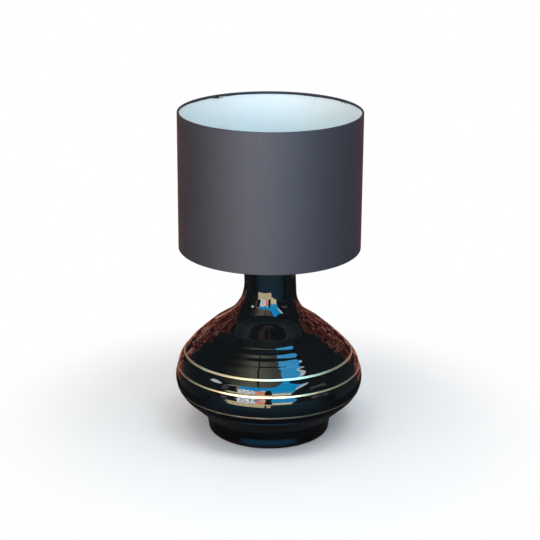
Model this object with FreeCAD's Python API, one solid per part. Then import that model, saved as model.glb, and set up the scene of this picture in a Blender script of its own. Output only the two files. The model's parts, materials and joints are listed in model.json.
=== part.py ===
import FreeCAD, Part
import math
import os
from FreeCAD import Vector

# A ceramic table lamp. A hollow glazed body with a wide belly and a slim neck is clamped
# between its floor and a neck cap by a hollow threaded rod. The rod carries a switched
# screw lampholder with a bulb, and a drum shade hangs on the holder by a three-armed spider.
# Units are millimetres and degrees. The origin is the middle of the face it rests on, +Z is
# up, -Y is the front, and the cord comes in at the back.

# Felt ring under the foot
felt_thickness = 1.5
felt_width = 5.5
felt_inset = 3.0

# Glazed body, with heights above its own foot
body_wall = 6.0
foot_radius = 101.4
foot_flare = 4.4
foot_height = 26.7
foot_edge_rounding = 2.0
foot_corner_rounding = 6.0
underside_angle = 43.0
belly_radius = 156.8
belly_rounding = 41.95
neck_radius = 42.9
neck_height = 262.0
body_height = 285.0
lip_rounding = 2.0
neck_groove_height = 276.5
neck_groove_radius = 1.2
neck_groove_depth = 0.5

# Control points of the shoulder, evenly spaced in height: share of the way out to the belly
shoulder_shares = (0.988, 0.910, 0.779, 0.606, 0.413, 0.164, 0.054, 0.006)

# Hollow under the floor of the body, inside the ring of the foot
foot_wall = 9.0
recess_depth = 18.0
recess_rounding = 3.0
floor_thickness = 8.0

# Gold lines, in shallow grooves of the glaze, with heights above the widest place of the belly
upper_line_rise = 46.0
middle_line_rise = 21.0
lower_line_rise = -15.5
gold_line_width = 3.0
gold_line_depth = 0.25
gold_line_proud = 0.06
gold_line_clearance = 0.02

# Cord inlet through the back of the foot
inlet_height = 10.0
inlet_hole_radius = 5.0
grommet_bore_radius = 3.3
grommet_flange_radius = 7.5
grommet_flange_thickness = 2.2
grommet_edge_rounding = 0.6
grommet_clearance = 0.05
grommet_end = 2.0
spot_face_depth = 1.2
spot_face_clearance = 0.3

# Threaded rod, its nuts and washers
rod_radius = 5.0
rod_bore_radius = 3.5
rod_tail = 4.0
rod_hole_clearance = 0.4
thread_clearance = 0.05
nut_across_flats = 15.0
nut_thickness = 4.0
nut_chamfer = 0.8
nut_chamfer_angle = 30.0
cushion_radius = 20.0
cushion_thickness = 2.0
floor_washer_radius = 18.0
floor_washer_thickness = 1.6
neck_washer_radius = 9.5
neck_washer_thickness = 1.0

# Cap that closes the neck
gasket_thickness = 1.0
gasket_width = 3.0
gasket_inset = 1.4
neck_cap_thickness = 2.0
neck_cap_inset = 1.0
neck_cap_rise = 3.0
neck_cap_flat_radius = 13.0
neck_cap_skirt_depth = 6.0
neck_cap_skirt_clearance = 0.5
neck_cap_rounding = 0.8

# Lower cup of the lampholder, with the switch in it
cup_radius = 21.0
cup_wall = 2.4
cup_entry_radius = 8.5
cup_entry_height = 4.5
cup_dome_rounding = 9.0
cup_neck_length = 6.5
cup_neck_wall = 1.8
cup_rounding = 0.8
rod_tip = 0.8
grub_screw_radius = 1.5
grub_screw_height = 2.3
grub_screw_inset = 0.4

# Switch bar that pushes through the cup, and its contacts
bar_radius = 3.0
bar_waist_radius = 2.6
bar_floor_gap = 13.0
bar_block_gap = 3.6
bar_clearance = 0.1
bar_travel = 6.0
bar_reach = 3.5
bar_end_rounding = 1.2
bridge_thickness = 0.6
bridge_length = 6.0
bridge_clearance = 0.02
bridge_air = 2.0
leaf_thickness = 0.5
leaf_width = 4.0
leaf_gap = 0.3
leaf_overhang = 2.0

# Insulating block, terminals and contacts that the bulb meets
block_thickness = 9.0
block_clearance = 0.3
block_ledge = 1.4
block_ledge_thickness = 1.5
terminal_length = 8.0
terminal_width = 6.0
terminal_height = 8.0
terminal_offset = 7.0
terminal_wire_radius = 1.3
terminal_wire_depth = 6.0
terminal_screw_drop = 5.0
terminal_screw_reach = 2.0
terminal_screw_radius = 1.5
terminal_head_radius = 2.3
terminal_head_thickness = 1.6
liner_clearance = 0.4
liner_thickness = 0.4
liner_height = 24.0
contact_width = 5.0
contact_half_length = 6.0
contact_foot_length = 1.8
contact_top_half = 2.2
contact_rise = 3.6
contact_thickness = 0.5

# Threaded outer sleeve of the lampholder and the two shade rings
sleeve_radius = 19.6
sleeve_wall = 2.6
sleeve_height = 38.0
sleeve_collar_wall = 1.8
sleeve_shoulder = 2.0
sleeve_shoulder_bore = 15.5
sleeve_rounding = 0.8
ring_height = 6.0
ring_flange_radius = 28.5
ring_flange_thickness = 2.0
ring_collar_radius = 23.0
ring_rounding = 0.5
lower_ring_lift = 7.0

# Screw bulb
button_radius = 4.6
button_height = 1.5
button_gap = 0.2
button_clearance = 0.05
bulb_cap_radius = 12.6
bulb_thread_depth = 0.5
bulb_thread_pitch = 3.629
bulb_thread_turns = 4
bulb_cap_height = 22.0
bulb_cap_wall = 0.4
insulator_foot_radius = 5.5
insulator_height = 4.5
insulator_lip = 1.5
bulb_collar_radius = 13.4
bulb_collar_top_radius = 21.0
bulb_collar_foot = 3.0
bulb_collar_spigot = 3.0
bulb_collar_brim = 5.0
bulb_collar_rounding = 6.0
bulb_collar_wall = 1.6
globe_radius = 30.0
globe_wall = 1.2
bulb_length = 108.0
board_thickness = 1.6
board_clearance = 0.3
board_depth = 2.6
chip_count = 8
chip_size = 2.8
chip_thickness = 0.7
chip_circle_share = 0.62

# Drum shade
shade_radius = 150.0
shade_height = 228.2
shade_drop = 28.4
cover_thickness = 0.5
liner_sheet_thickness = 0.4
hem_thickness = 0.4
hem_facets = 8
top_hem_leg = 2.6
bottom_hem_leg = 5.0
top_wire_radius = 0.8
bottom_wire_radius = 1.1
wire_clearance = 0.3
seam_width = 12.0
seam_thickness = 0.4
seam_clearance = 0.05
seam_angle = 123.0

# Spider that carries the shade
hub_clearance = 1.4
hub_radius = 32.0
hub_thickness = 2.0
hub_gap = 0.2
arm_count = 3
first_arm_angle = 90.0
arm_radius = 1.5
arm_bite = 1.2
arm_level_inside = 12.0
arm_level_outside = 9.0
arm_bend_radius = 8.0
arm_slit_clearance = 0.1


def point(radius, height):
    """A point of a turned outline, in the plane through the axis."""
    return Vector(radius, 0, height)


def rounded_corner(before, corner, after, rounding):
    """Both tangent points and the middle of the arc that rounds one corner."""
    back = (before - corner).normalize()
    ahead = (after - corner).normalize()
    half_angle = back.getAngle(ahead) / 2
    room = 0.49 * min((before - corner).Length, (after - corner).Length)
    reach = min(rounding / math.tan(half_angle), room)
    radius = reach * math.tan(half_angle)
    bisector = (back + ahead).normalize()
    middle = corner + bisector * (radius / math.sin(half_angle) - radius)
    return corner + back * reach, middle, corner + ahead * reach


def open_outline(corners):
    """Edges along corners given as (point, rounding), with an arc at each rounded one."""
    edges = []
    here = corners[0][0]
    for index in range(1, len(corners) - 1):
        corner, rounding = corners[index]
        if rounding > 0:
            before = corners[index - 1][0]
            after = corners[index + 1][0]
            start, middle, end = rounded_corner(before, corner, after, rounding)
            edges.append(Part.makeLine(here, start))
            edges.append(Part.Arc(start, middle, end).toShape())
            here = end
        else:
            edges.append(Part.makeLine(here, corner))
            here = corner
    edges.append(Part.makeLine(here, corners[-1][0]))
    return edges


def closed_outline(corners):
    """A closed wire round (radius, height, rounding) corners, the first one left sharp."""
    path = [(point(radius, height), rounding) for radius, height, rounding in corners]
    path.append((path[0][0], 0))
    return Part.Wire(open_outline(path))


def turned(corners):
    """The solid that a closed outline makes when it turns about the lamp's axis."""
    face = Part.Face(closed_outline(corners))
    return face.revolve(Vector(0, 0, 0), Vector(0, 0, 1), 360)


def turned_wire(wire):
    """The solid that a closed wire makes when it turns about the lamp's axis."""
    return Part.Face(wire).revolve(Vector(0, 0, 0), Vector(0, 0, 1), 360)


def washer(inner, outer, low, high, rounding=0.0):
    """A flat ring between two radii and two heights."""
    return turned([
        (inner, low, 0),
        (outer, low, rounding),
        (outer, high, rounding),
        (inner, high, 0),
    ])


def hex_nut(low):
    """A hexagon nut that runs on the threaded rod, with chamfered corners."""
    corner_radius = nut_across_flats / math.sqrt(3)
    corners = []
    for index in range(7):
        angle = math.radians(60 * index)
        corners.append(Vector(corner_radius * math.cos(angle), corner_radius * math.sin(angle), low))
    prism = Part.Face(Part.makePolygon(corners)).extrude(Vector(0, 0, nut_thickness))
    bore = rod_radius + thread_clearance
    shoulder = corner_radius - nut_chamfer
    rise = nut_chamfer * math.tan(math.radians(nut_chamfer_angle))
    barrel = turned([
        (bore, low, 0),
        (shoulder, low, 0),
        (corner_radius, low + rise, 0),
        (corner_radius, low + nut_thickness - rise, 0),
        (shoulder, low + nut_thickness, 0),
        (bore, low + nut_thickness, 0),
    ])
    return prism.common(barrel)


def bar_along(radius, start, end):
    """A round bar from one point to another."""
    return Part.makeCylinder(radius, (end - start).Length, start, end - start)


# Glazed body
underside = math.radians(underside_angle)
foot_low = felt_thickness
foot_top_radius = foot_radius + foot_flare
corner_level = foot_low + foot_height
neck_level = foot_low + neck_height
lip_level = foot_low + body_height
recess_level = foot_low + recess_depth
floor_level = recess_level + floor_thickness
recess_radius = foot_radius - foot_wall
mouth_radius = neck_radius - body_wall


def cone_level(radius, inset):
    """Height of the cone under the belly at a radius, for the outside or a wall further in."""
    rise = (radius - foot_top_radius) * math.tan(underside)
    return corner_level + rise + inset / math.cos(underside)


def cone_radius(level, inset):
    """Radius of the cone under the belly at a height, for the outside or a wall further in."""
    rise = level - corner_level - inset / math.cos(underside)
    return foot_top_radius + rise / math.tan(underside)


# The belly is an arc that leaves the cone smoothly and ends upright at its widest place
belly_turn = math.pi / 2 - underside
belly_level = cone_level(belly_radius, 0) + belly_rounding * math.tan(belly_turn / 2)


# The shoulder leaves the belly upright and meets the neck upright
shoulder_spans = len(shoulder_shares) + 1
end_share = 1 / (3 * shoulder_spans)
height_shares = [0, end_share]
height_shares += [step / shoulder_spans for step in range(1, shoulder_spans)]
height_shares += [1 - end_share, 1]
radius_shares = [1, 1, *shoulder_shares, 0, 0]
shoulder_poles = []
for height_share, radius_share in zip(height_shares, radius_shares):
    height = belly_level + height_share * (neck_level - belly_level)
    radius = neck_radius + radius_share * (belly_radius - neck_radius)
    shoulder_poles.append(point(radius, height))
shoulder = Part.BSplineCurve()
shoulder.buildFromPoles(shoulder_poles, False, 3)


def inner_shoulder(inset):
    """A curve that runs inside the shoulder, one wall away."""
    points = []
    steps = 2 * shoulder_spans
    for step in range(steps + 1):
        value = shoulder.FirstParameter
        value += (shoulder.LastParameter - shoulder.FirstParameter) * step / steps
        tangent = shoulder.tangent(value)[0]
        points.append(shoulder.value(value) + Vector(-tangent.z, 0, tangent.x) * inset)
    curve = Part.BSplineCurve()
    curve.interpolate(points)
    return curve


def belly_outline(start, inset):
    """Edges from some start corners out and round the belly, for a wall some way inside."""
    radius = belly_radius - inset
    level = cone_level(radius, inset)
    # The straight above the belly only gives the arc its tangent, so it is left off
    tangent_end = point(radius, level + 3 * (belly_level - level))
    corners = start + [(point(radius, level), belly_rounding - inset), (tangent_end, 0)]
    return open_outline(corners)[:-1]


outside_edges = belly_outline([
    (point(0, foot_low), 0),
    (point(foot_radius, foot_low), foot_edge_rounding),
    (point(foot_top_radius, corner_level), foot_corner_rounding),
], 0)
outside_edges.append(shoulder.toShape())
outside_edges += open_outline([
    (point(neck_radius, neck_level), 0),
    (point(neck_radius, lip_level), lip_rounding),
    (point(0, lip_level), 0),
    (point(0, foot_low), 0),
])
cavity_edges = belly_outline([
    (point(0, floor_level), 0),
    (point(cone_radius(floor_level, body_wall), floor_level), recess_rounding),
], body_wall)
cavity_edges.append(inner_shoulder(body_wall).toShape())
cavity_edges += open_outline([
    (point(mouth_radius, neck_level), 0),
    (point(mouth_radius, lip_level + body_wall), 0),
    (point(0, lip_level + body_wall), 0),
    (point(0, floor_level), 0),
])
recess = turned([
    (0, foot_low - foot_wall, 0),
    (recess_radius, foot_low - foot_wall, 0),
    (recess_radius, recess_level, recess_rounding),
    (0, recess_level, 0),
])
rod_hole_radius = rod_radius + rod_hole_clearance
rod_hole = Part.makeCylinder(rod_hole_radius, floor_thickness, Vector(0, 0, recess_level))
groove_centre_radius = neck_radius + neck_groove_radius - neck_groove_depth
groove_centre = Vector(0, 0, foot_low + neck_groove_height)
neck_groove = Part.makeTorus(groove_centre_radius, neck_groove_radius, groove_centre)


def surface_at(level):
    """Point of the body's outside at a height, and the direction straight out of it."""
    for edge in outside_edges:
        first, last = edge.ParameterRange
        if edge.valueAt(first).z <= level <= edge.valueAt(last).z:
            for _ in range(50):
                middle = (first + last) / 2
                if edge.valueAt(middle).z < level:
                    first = middle
                else:
                    last = middle
            tangent = edge.tangentAt(first)
            return edge.valueAt(first), Vector(tangent.z, 0, -tangent.x)
    raise ValueError("no outside at height %s" % level)


def surface_band(rise, width, depth, proud):
    """A ring that follows the body's outside, from some depth in it to just proud of it."""
    outer_points = []
    inner_points = []
    for share in (-0.5, -0.25, 0.0, 0.25, 0.5):
        spot, outward = surface_at(belly_level + rise + share * width)
        outer_points.append(spot + outward * proud)
        inner_points.append(spot - outward * depth)
    corners = outer_points + inner_points[::-1]
    return turned_wire(Part.makePolygon(corners + corners[:1]))


gold_lines = {
    "gold_line_upper": upper_line_rise,
    "gold_line_middle": middle_line_rise,
    "gold_line_lower": lower_line_rise,
}
groove_width = gold_line_width + 2 * gold_line_clearance
groove_depth = gold_line_depth + gold_line_clearance

# Cord inlet, bored from the back of the foot into the hollow under the floor
inlet_level = foot_low + inlet_height
foot_surface = foot_radius + foot_flare * inlet_height / foot_height
spot_face = foot_surface - spot_face_depth
back = Vector(0, 1, 0)
inlet_start = Vector(0, recess_radius - foot_wall, inlet_level)
inlet_hole = Part.makeCylinder(inlet_hole_radius, 3 * foot_wall, inlet_start, back)
seat_radius = grommet_flange_radius + spot_face_clearance
seat_start = Vector(0, spot_face, inlet_level)
inlet_seat = Part.makeCylinder(seat_radius, foot_wall, seat_start, back)

body = turned_wire(Part.Wire(outside_edges))
body = body.cut(turned_wire(Part.Wire(cavity_edges)))
body = body.cut(recess)
body = body.cut([rod_hole, neck_groove, inlet_hole, inlet_seat])
body = body.cut([
    surface_band(rise, groove_width, groove_depth, gold_line_depth)
    for rise in gold_lines.values()
])

parts = {"ceramic_body": body}
for name, rise in gold_lines.items():
    parts[name] = surface_band(rise, gold_line_width, gold_line_depth, gold_line_proud)

felt_outer = foot_radius - felt_inset
parts["felt_ring"] = washer(felt_outer - felt_width, felt_outer, 0, felt_thickness)

grommet_inner_end = recess_radius - grommet_end
grommet_shank = inlet_hole_radius - grommet_clearance
grommet = turned([
    (grommet_bore_radius, grommet_inner_end, 0),
    (grommet_shank, grommet_inner_end, grommet_edge_rounding),
    (grommet_shank, spot_face, 0),
    (grommet_flange_radius, spot_face, 0),
    (grommet_flange_radius, spot_face + grommet_flange_thickness, grommet_edge_rounding),
    (grommet_bore_radius, spot_face + grommet_flange_thickness, 0),
])
grommet.rotate(Vector(0, 0, 0), Vector(1, 0, 0), -90)
grommet.translate(Vector(0, 0, inlet_level))
parts["cord_grommet"] = grommet

# Clamp under the floor: cushion, washer and nut, then the tail of the rod
cushion_level = recess_level - cushion_thickness
floor_washer_level = cushion_level - floor_washer_thickness
floor_nut_level = floor_washer_level - nut_thickness
rod_low = floor_nut_level - rod_tail
parts["floor_cushion"] = washer(rod_hole_radius, cushion_radius, cushion_level, recess_level)
parts["floor_washer"] = washer(
    rod_hole_radius, floor_washer_radius, floor_washer_level, cushion_level)
parts["floor_nut"] = hex_nut(floor_nut_level)

# Neck cap on its gasket, with a washer and a nut that pull the rod tight
gasket_level = lip_level + gasket_thickness
gasket_radius = neck_radius - gasket_inset
cap_radius = neck_radius - neck_cap_inset
cap_top_level = gasket_level + neck_cap_thickness + neck_cap_rise
cap_skirt_radius = mouth_radius - neck_cap_skirt_clearance
cap_skirt_bore = cap_skirt_radius - neck_cap_thickness
neck_washer_top = cap_top_level + neck_washer_thickness
cup_low = neck_washer_top + nut_thickness
parts["neck_gasket"] = washer(gasket_radius - gasket_width, gasket_radius, lip_level, gasket_level)
parts["neck_cap"] = turned([
    (rod_hole_radius, cap_top_level - neck_cap_thickness, 0),
    (neck_cap_flat_radius, cap_top_level - neck_cap_thickness, 0),
    (cap_skirt_bore, gasket_level, 0),
    (cap_skirt_bore, lip_level - neck_cap_skirt_depth, 0),
    (cap_skirt_radius, lip_level - neck_cap_skirt_depth, 0),
    (cap_skirt_radius, gasket_level, 0),
    (cap_radius, gasket_level, neck_cap_rounding),
    (cap_radius, gasket_level + neck_cap_thickness, neck_cap_rounding),
    (cap_skirt_bore, gasket_level + neck_cap_thickness, 0),
    (neck_cap_flat_radius, cap_top_level, 0),
    (rod_hole_radius, cap_top_level, 0),
])
parts["neck_washer"] = washer(
    rod_hole_radius, neck_washer_radius, cap_top_level, neck_washer_top)
parts["neck_nut"] = hex_nut(neck_washer_top)

# Cup of the lampholder: threaded entry, chamber of the switch, ledge of the block
cup_entry_top = cup_low + cup_entry_height
cup_floor = cup_entry_top + cup_wall
rod_high = cup_floor + rod_tip
bar_level = cup_floor + bar_floor_gap
block_low = bar_level + bar_radius + bar_block_gap
cup_top = block_low + block_thickness
cup_shoulder = cup_top - cup_neck_length
cup_bore = cup_radius - cup_wall
collar_bore = cup_radius - sleeve_collar_wall
cup_neck_radius = collar_bore - thread_clearance
cup_neck_bore = cup_neck_radius - cup_neck_wall
ledge_bore = cup_neck_bore - block_ledge
ledge_low = block_low - block_ledge_thickness
thread_bore = rod_radius + thread_clearance
cup = turned([
    (thread_bore, cup_low, 0),
    (cup_entry_radius, cup_low, cup_rounding),
    (cup_entry_radius, cup_entry_top, cup_rounding),
    (cup_radius, cup_entry_top, cup_dome_rounding),
    (cup_radius, cup_shoulder, 0),
    (cup_neck_radius, cup_shoulder, 0),
    (cup_neck_radius, cup_top, 0),
    (cup_neck_bore, cup_top, 0),
    (cup_neck_bore, block_low, 0),
    (ledge_bore, block_low, 0),
    (ledge_bore, ledge_low, 0),
    (cup_bore, ledge_low, 0),
    (cup_bore, cup_floor, cup_dome_rounding - cup_wall),
    (thread_bore, cup_floor, 0),
])
bar_hole_radius = bar_radius + bar_clearance
bar_hole_start = Vector(-2 * cup_radius, 0, bar_level)
bar_hole = Part.makeCylinder(bar_hole_radius, 4 * cup_radius, bar_hole_start, Vector(1, 0, 0))
grub_level = cup_low + grub_screw_height
grub_start = Vector(0, rod_radius, grub_level)
grub_hole = Part.makeCylinder(
    grub_screw_radius + thread_clearance, cup_radius, grub_start, back)
parts["holder_cup"] = cup.cut([bar_hole, grub_hole])
parts["threaded_rod"] = washer(rod_bore_radius, rod_radius, rod_low, rod_high)
grub_point = grub_start + back * thread_clearance
grub_end = Vector(0, cup_entry_radius - grub_screw_inset, grub_level)
parts["grub_screw"] = bar_along(grub_screw_radius, grub_point, grub_end)

# Switch bar with its bridging sleeve, drawn along the axis and then laid along X
bar_left = -(cup_radius + bar_reach)
bar_right = cup_radius + bar_reach + bar_travel
bridge_left = bridge_air
bridge_right = bridge_left + bridge_length
bar = turned([
    (0, bar_left, 0),
    (bar_radius, bar_left, bar_end_rounding),
    (bar_radius, bridge_left, 0),
    (bar_waist_radius, bridge_left, 0),
    (bar_waist_radius, bridge_right, 0),
    (bar_radius, bridge_right, 0),
    (bar_radius, bar_right, bar_end_rounding),
    (0, bar_right, 0),
])
bridge_bore = bar_waist_radius + bridge_clearance
bridge_radius = bar_waist_radius + bridge_thickness
bridge = washer(
    bridge_bore, bridge_radius, bridge_left + bridge_clearance, bridge_right - bridge_clearance)
for name, piece in (("switch_bar", bar), ("switch_bridge", bridge)):
    piece.rotate(Vector(0, 0, 0), Vector(0, 1, 0), 90)
    piece.translate(Vector(0, 0, bar_level))
    parts[name] = piece

# Insulating block, with the leaves and terminals under it and the contacts on it
block_radius = cup_neck_bore - block_clearance
parts["insulating_block"] = washer(0, block_radius, block_low, cup_top)
leaf_level = bar_level - leaf_overhang
leaf_offset = bridge_radius + leaf_gap
terminal_level = block_low - terminal_height
screw_level = block_low - terminal_screw_drop
terminal_outside = terminal_offset + terminal_width
wire_offset = terminal_offset + terminal_width / 2
leaves = []
terminals = []
terminal_screws = []
for side in (-1, 1):
    leaf = Part.makeBox(leaf_width, leaf_thickness, block_low - leaf_level)
    leaf_start = -leaf_width if side > 0 else 0
    leaf.translate(Vector(leaf_start, leaf_offset, leaf_level))
    terminal = Part.makeBox(terminal_length, terminal_width, terminal_height)
    terminal.translate(Vector(-terminal_length / 2, terminal_offset, terminal_level))
    wire_hole = Part.makeCylinder(
        terminal_wire_radius, terminal_wire_depth, Vector(0, wire_offset, terminal_level))
    screw_point = Vector(0, terminal_outside - terminal_screw_reach, screw_level)
    screw_seat = Vector(0, terminal_outside, screw_level)
    screw_top = Vector(0, terminal_outside + terminal_head_thickness, screw_level)
    screw_hole = bar_along(
        terminal_screw_radius + thread_clearance, Vector(0, wire_offset, screw_level), screw_seat)
    screw = bar_along(terminal_screw_radius, screw_point, screw_seat)
    screw = screw.fuse(bar_along(terminal_head_radius, screw_seat, screw_top)).removeSplitter()
    terminal = terminal.cut([wire_hole, screw_hole])
    for group, piece in ((leaves, leaf), (terminals, terminal), (terminal_screws, screw)):
        if side < 0:
            piece.rotate(Vector(0, 0, 0), Vector(0, 0, 1), 180)
        group.append(piece)
parts["switch_leaves"] = Part.makeCompound(leaves)
parts["terminals"] = Part.makeCompound(terminals)
parts["terminal_screws"] = Part.makeCompound(terminal_screws)

contact_slope = contact_half_length - contact_foot_length
contact_under = [
    Vector(-contact_half_length, 0, 0),
    Vector(-contact_slope, 0, 0),
    Vector(-contact_top_half, 0, contact_rise - contact_thickness),
    Vector(contact_top_half, 0, contact_rise - contact_thickness),
    Vector(contact_slope, 0, 0),
    Vector(contact_half_length, 0, 0),
]
contact_over = [spot + Vector(0, 0, contact_thickness) for spot in reversed(contact_under)]
contact_outline = Part.makePolygon(contact_under + contact_over + contact_under[:1])
contact_strip = Part.Face(contact_outline).extrude(Vector(0, contact_width, 0))
contact_strip.translate(Vector(0, -contact_width / 2, cup_top))
parts["holder_contact"] = contact_strip

bulb_thread_radius = bulb_cap_radius + bulb_thread_depth
liner_bore = bulb_thread_radius + liner_clearance
parts["screw_liner"] = washer(
    liner_bore, liner_bore + liner_thickness, cup_top, cup_top + liner_height)

# Threaded sleeve, screwed over the neck of the cup, and the two shade rings on it
sleeve_low = cup_top + sleeve_shoulder
sleeve_top = cup_top + sleeve_height
sleeve_bore = sleeve_radius - sleeve_wall
parts["holder_sleeve"] = turned([
    (sleeve_shoulder_bore, cup_top, 0),
    (collar_bore, cup_top, 0),
    (collar_bore, cup_shoulder, 0),
    (cup_radius, cup_shoulder, 0),
    (cup_radius, sleeve_low, sleeve_rounding),
    (sleeve_radius, sleeve_low, 0),
    (sleeve_radius, sleeve_top, sleeve_rounding),
    (sleeve_bore, sleeve_top, sleeve_rounding),
    (sleeve_bore, sleeve_low, 0),
    (sleeve_shoulder_bore, sleeve_low, 0),
])
lower_ring_low = sleeve_low + lower_ring_lift
lower_ring_top = lower_ring_low + ring_height
hub_low = lower_ring_top + hub_gap
hub_top = hub_low + hub_thickness
upper_ring_low = hub_top + hub_gap


def shade_ring(flange_level, outward):
    """A threaded ring whose flange faces the hub and whose collar points away from it."""
    bore = sleeve_radius + thread_clearance
    step = flange_level + outward * ring_flange_thickness
    end = flange_level + outward * ring_height
    return turned([
        (bore, flange_level, 0),
        (ring_flange_radius, flange_level, ring_rounding),
        (ring_flange_radius, step, ring_rounding),
        (ring_collar_radius, step, 0),
        (ring_collar_radius, end, ring_rounding),
        (bore, end, 0),
    ])


parts["lower_shade_ring"] = shade_ring(lower_ring_top, -1)
parts["upper_shade_ring"] = shade_ring(upper_ring_low, 1)

# Bulb: contact button, insulator, threaded cap, collar, light board and globe
button_low = cup_top + contact_rise + button_gap
insulator_low = button_low + button_height + button_clearance
bulb_cap_low = insulator_low + insulator_height
bulb_cap_top = bulb_cap_low + bulb_cap_height
bulb_cap_bore = bulb_cap_radius - bulb_cap_wall
parts["bulb_contact"] = turned([
    (0, button_low, 0),
    (button_radius, button_low, button_height / 2),
    (button_radius, button_low + button_height, 0),
    (0, button_low + button_height, 0),
])
lip_radius = bulb_cap_bore - thread_clearance
parts["bulb_insulator"] = turned([
    (0, insulator_low, 0),
    (insulator_foot_radius, insulator_low, 0),
    (bulb_cap_bore, bulb_cap_low, 0),
    (lip_radius, bulb_cap_low, 0),
    (lip_radius, bulb_cap_low + insulator_lip, 0),
    (0, bulb_cap_low + insulator_lip, 0),
])
cap_outline = [(bulb_cap_bore, bulb_cap_low, 0), (bulb_cap_radius, bulb_cap_low, 0)]
thread_start = bulb_cap_low + insulator_lip
for turn in range(bulb_thread_turns):
    valley = thread_start + turn * bulb_thread_pitch
    cap_outline.append((bulb_cap_radius, valley, bulb_thread_depth))
    cap_outline.append((bulb_thread_radius, valley + bulb_thread_pitch / 2, bulb_thread_pitch / 3))
cap_outline.append((bulb_cap_radius, thread_start + bulb_thread_turns * bulb_thread_pitch, 0))
cap_outline.append((bulb_cap_radius, bulb_cap_top, 0))
cap_outline.append((bulb_cap_bore, bulb_cap_top, 0))
parts["bulb_cap"] = turned(cap_outline)

globe_top = button_low + bulb_length
globe_centre = globe_top - globe_radius
brim_top = globe_centre - math.sqrt(globe_radius ** 2 - bulb_collar_top_radius ** 2)
brim_low = brim_top - bulb_collar_brim
brim_bore = bulb_collar_top_radius - bulb_collar_wall
board_level = brim_top - board_depth
spigot_radius = bulb_cap_bore - thread_clearance
spigot_bore = spigot_radius - bulb_collar_wall
collar_foot_top = bulb_cap_top + bulb_collar_foot
parts["bulb_collar"] = turned([
    (0, board_level, 0),
    (0, board_level - bulb_collar_wall, 0),
    (brim_bore - bulb_collar_wall, board_level - bulb_collar_wall, 0),
    (spigot_bore, collar_foot_top, 0),
    (spigot_bore, bulb_cap_top - bulb_collar_spigot, 0),
    (spigot_radius, bulb_cap_top - bulb_collar_spigot, 0),
    (spigot_radius, bulb_cap_top, 0),
    (bulb_collar_radius, bulb_cap_top, 0),
    (bulb_collar_radius, collar_foot_top, bulb_collar_rounding),
    (bulb_collar_top_radius, brim_low, bulb_collar_rounding),
    (bulb_collar_top_radius, brim_top, 0),
    (brim_bore, brim_top, 0),
    (brim_bore, board_level, 0),
])
globe_bore = globe_radius - globe_wall
globe_rim = math.sqrt(globe_bore ** 2 - (globe_centre - brim_top) ** 2)
parts["bulb_globe"] = turned_wire(Part.Wire([
    Part.Arc(
        point(bulb_collar_top_radius, brim_top),
        point(globe_radius, globe_centre),
        point(0, globe_top),
    ).toShape(),
    Part.makeLine(point(0, globe_top), point(0, globe_top - globe_wall)),
    Part.Arc(
        point(0, globe_top - globe_wall),
        point(globe_bore, globe_centre),
        point(globe_rim, brim_top),
    ).toShape(),
    Part.makeLine(point(globe_rim, brim_top), point(bulb_collar_top_radius, brim_top)),
]))
board_radius = brim_bore - board_clearance
board_top = board_level + board_thickness
parts["light_board"] = washer(0, board_radius, board_level, board_top)
chips = []
for index in range(chip_count):
    chip = Part.makeBox(chip_size, chip_size, chip_thickness)
    chip_middle = chip_circle_share * board_radius
    chip.translate(Vector(chip_middle - chip_size / 2, -chip_size / 2, board_top))
    chip.rotate(Vector(0, 0, 0), Vector(0, 0, 1), 360 * index / chip_count)
    chips.append(chip)
parts["light_chips"] = Part.makeCompound(chips)

# Shade: cover, liner and seam between two hemmed wire rings
shade_low = hub_low - shade_drop
shade_top = shade_low + shade_height
liner_outer = shade_radius - cover_thickness
liner_inner = liner_outer - liner_sheet_thickness


def roll_radius(wire_radius):
    """Outer radius of the hem that rolls over a wire and the edges of both sheets."""
    sheets = cover_thickness + liner_sheet_thickness
    return (sheets + 2 * (wire_radius + wire_clearance) + hem_thickness) / 2


def hem(edge_level, inward, wire_radius, leg):
    """A hem rolled over one edge of the shade; inward is +1 at the bottom, -1 at the top."""
    outer_radius = roll_radius(wire_radius)
    inner_radius = outer_radius - hem_thickness
    middle = shade_radius - outer_radius
    level = edge_level + inward * outer_radius
    leg_end = level + inward * leg
    outer_roll = []
    inner_roll = []
    for step in range(hem_facets + 1):
        angle = math.pi * step / hem_facets
        outward = Vector(math.cos(angle), 0, -inward * math.sin(angle))
        outer_roll.append(point(middle, level) + outward * outer_radius)
        inner_roll.append(point(middle, level) + outward * inner_radius)
    corners = outer_roll
    corners += [point(middle - outer_radius, leg_end), point(middle - inner_radius, leg_end)]
    corners += inner_roll[::-1]
    return turned_wire(Part.makePolygon(corners + corners[:1]))


bottom_level = shade_low + roll_radius(bottom_wire_radius)
top_level = shade_top - roll_radius(top_wire_radius)
parts["shade_cover"] = washer(liner_outer, shade_radius, bottom_level, top_level)
parts["shade_liner"] = washer(liner_inner, liner_outer, bottom_level, top_level)
bottom_wire_circle = liner_inner - wire_clearance - bottom_wire_radius
top_wire_circle = liner_inner - wire_clearance - top_wire_radius
bottom_wire = Part.makeTorus(bottom_wire_circle, bottom_wire_radius, Vector(0, 0, bottom_level))
parts["bottom_wire"] = bottom_wire
parts["top_wire"] = Part.makeTorus(top_wire_circle, top_wire_radius, Vector(0, 0, top_level))
parts["top_hem"] = hem(shade_top, -1, top_wire_radius, top_hem_leg)

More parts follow.
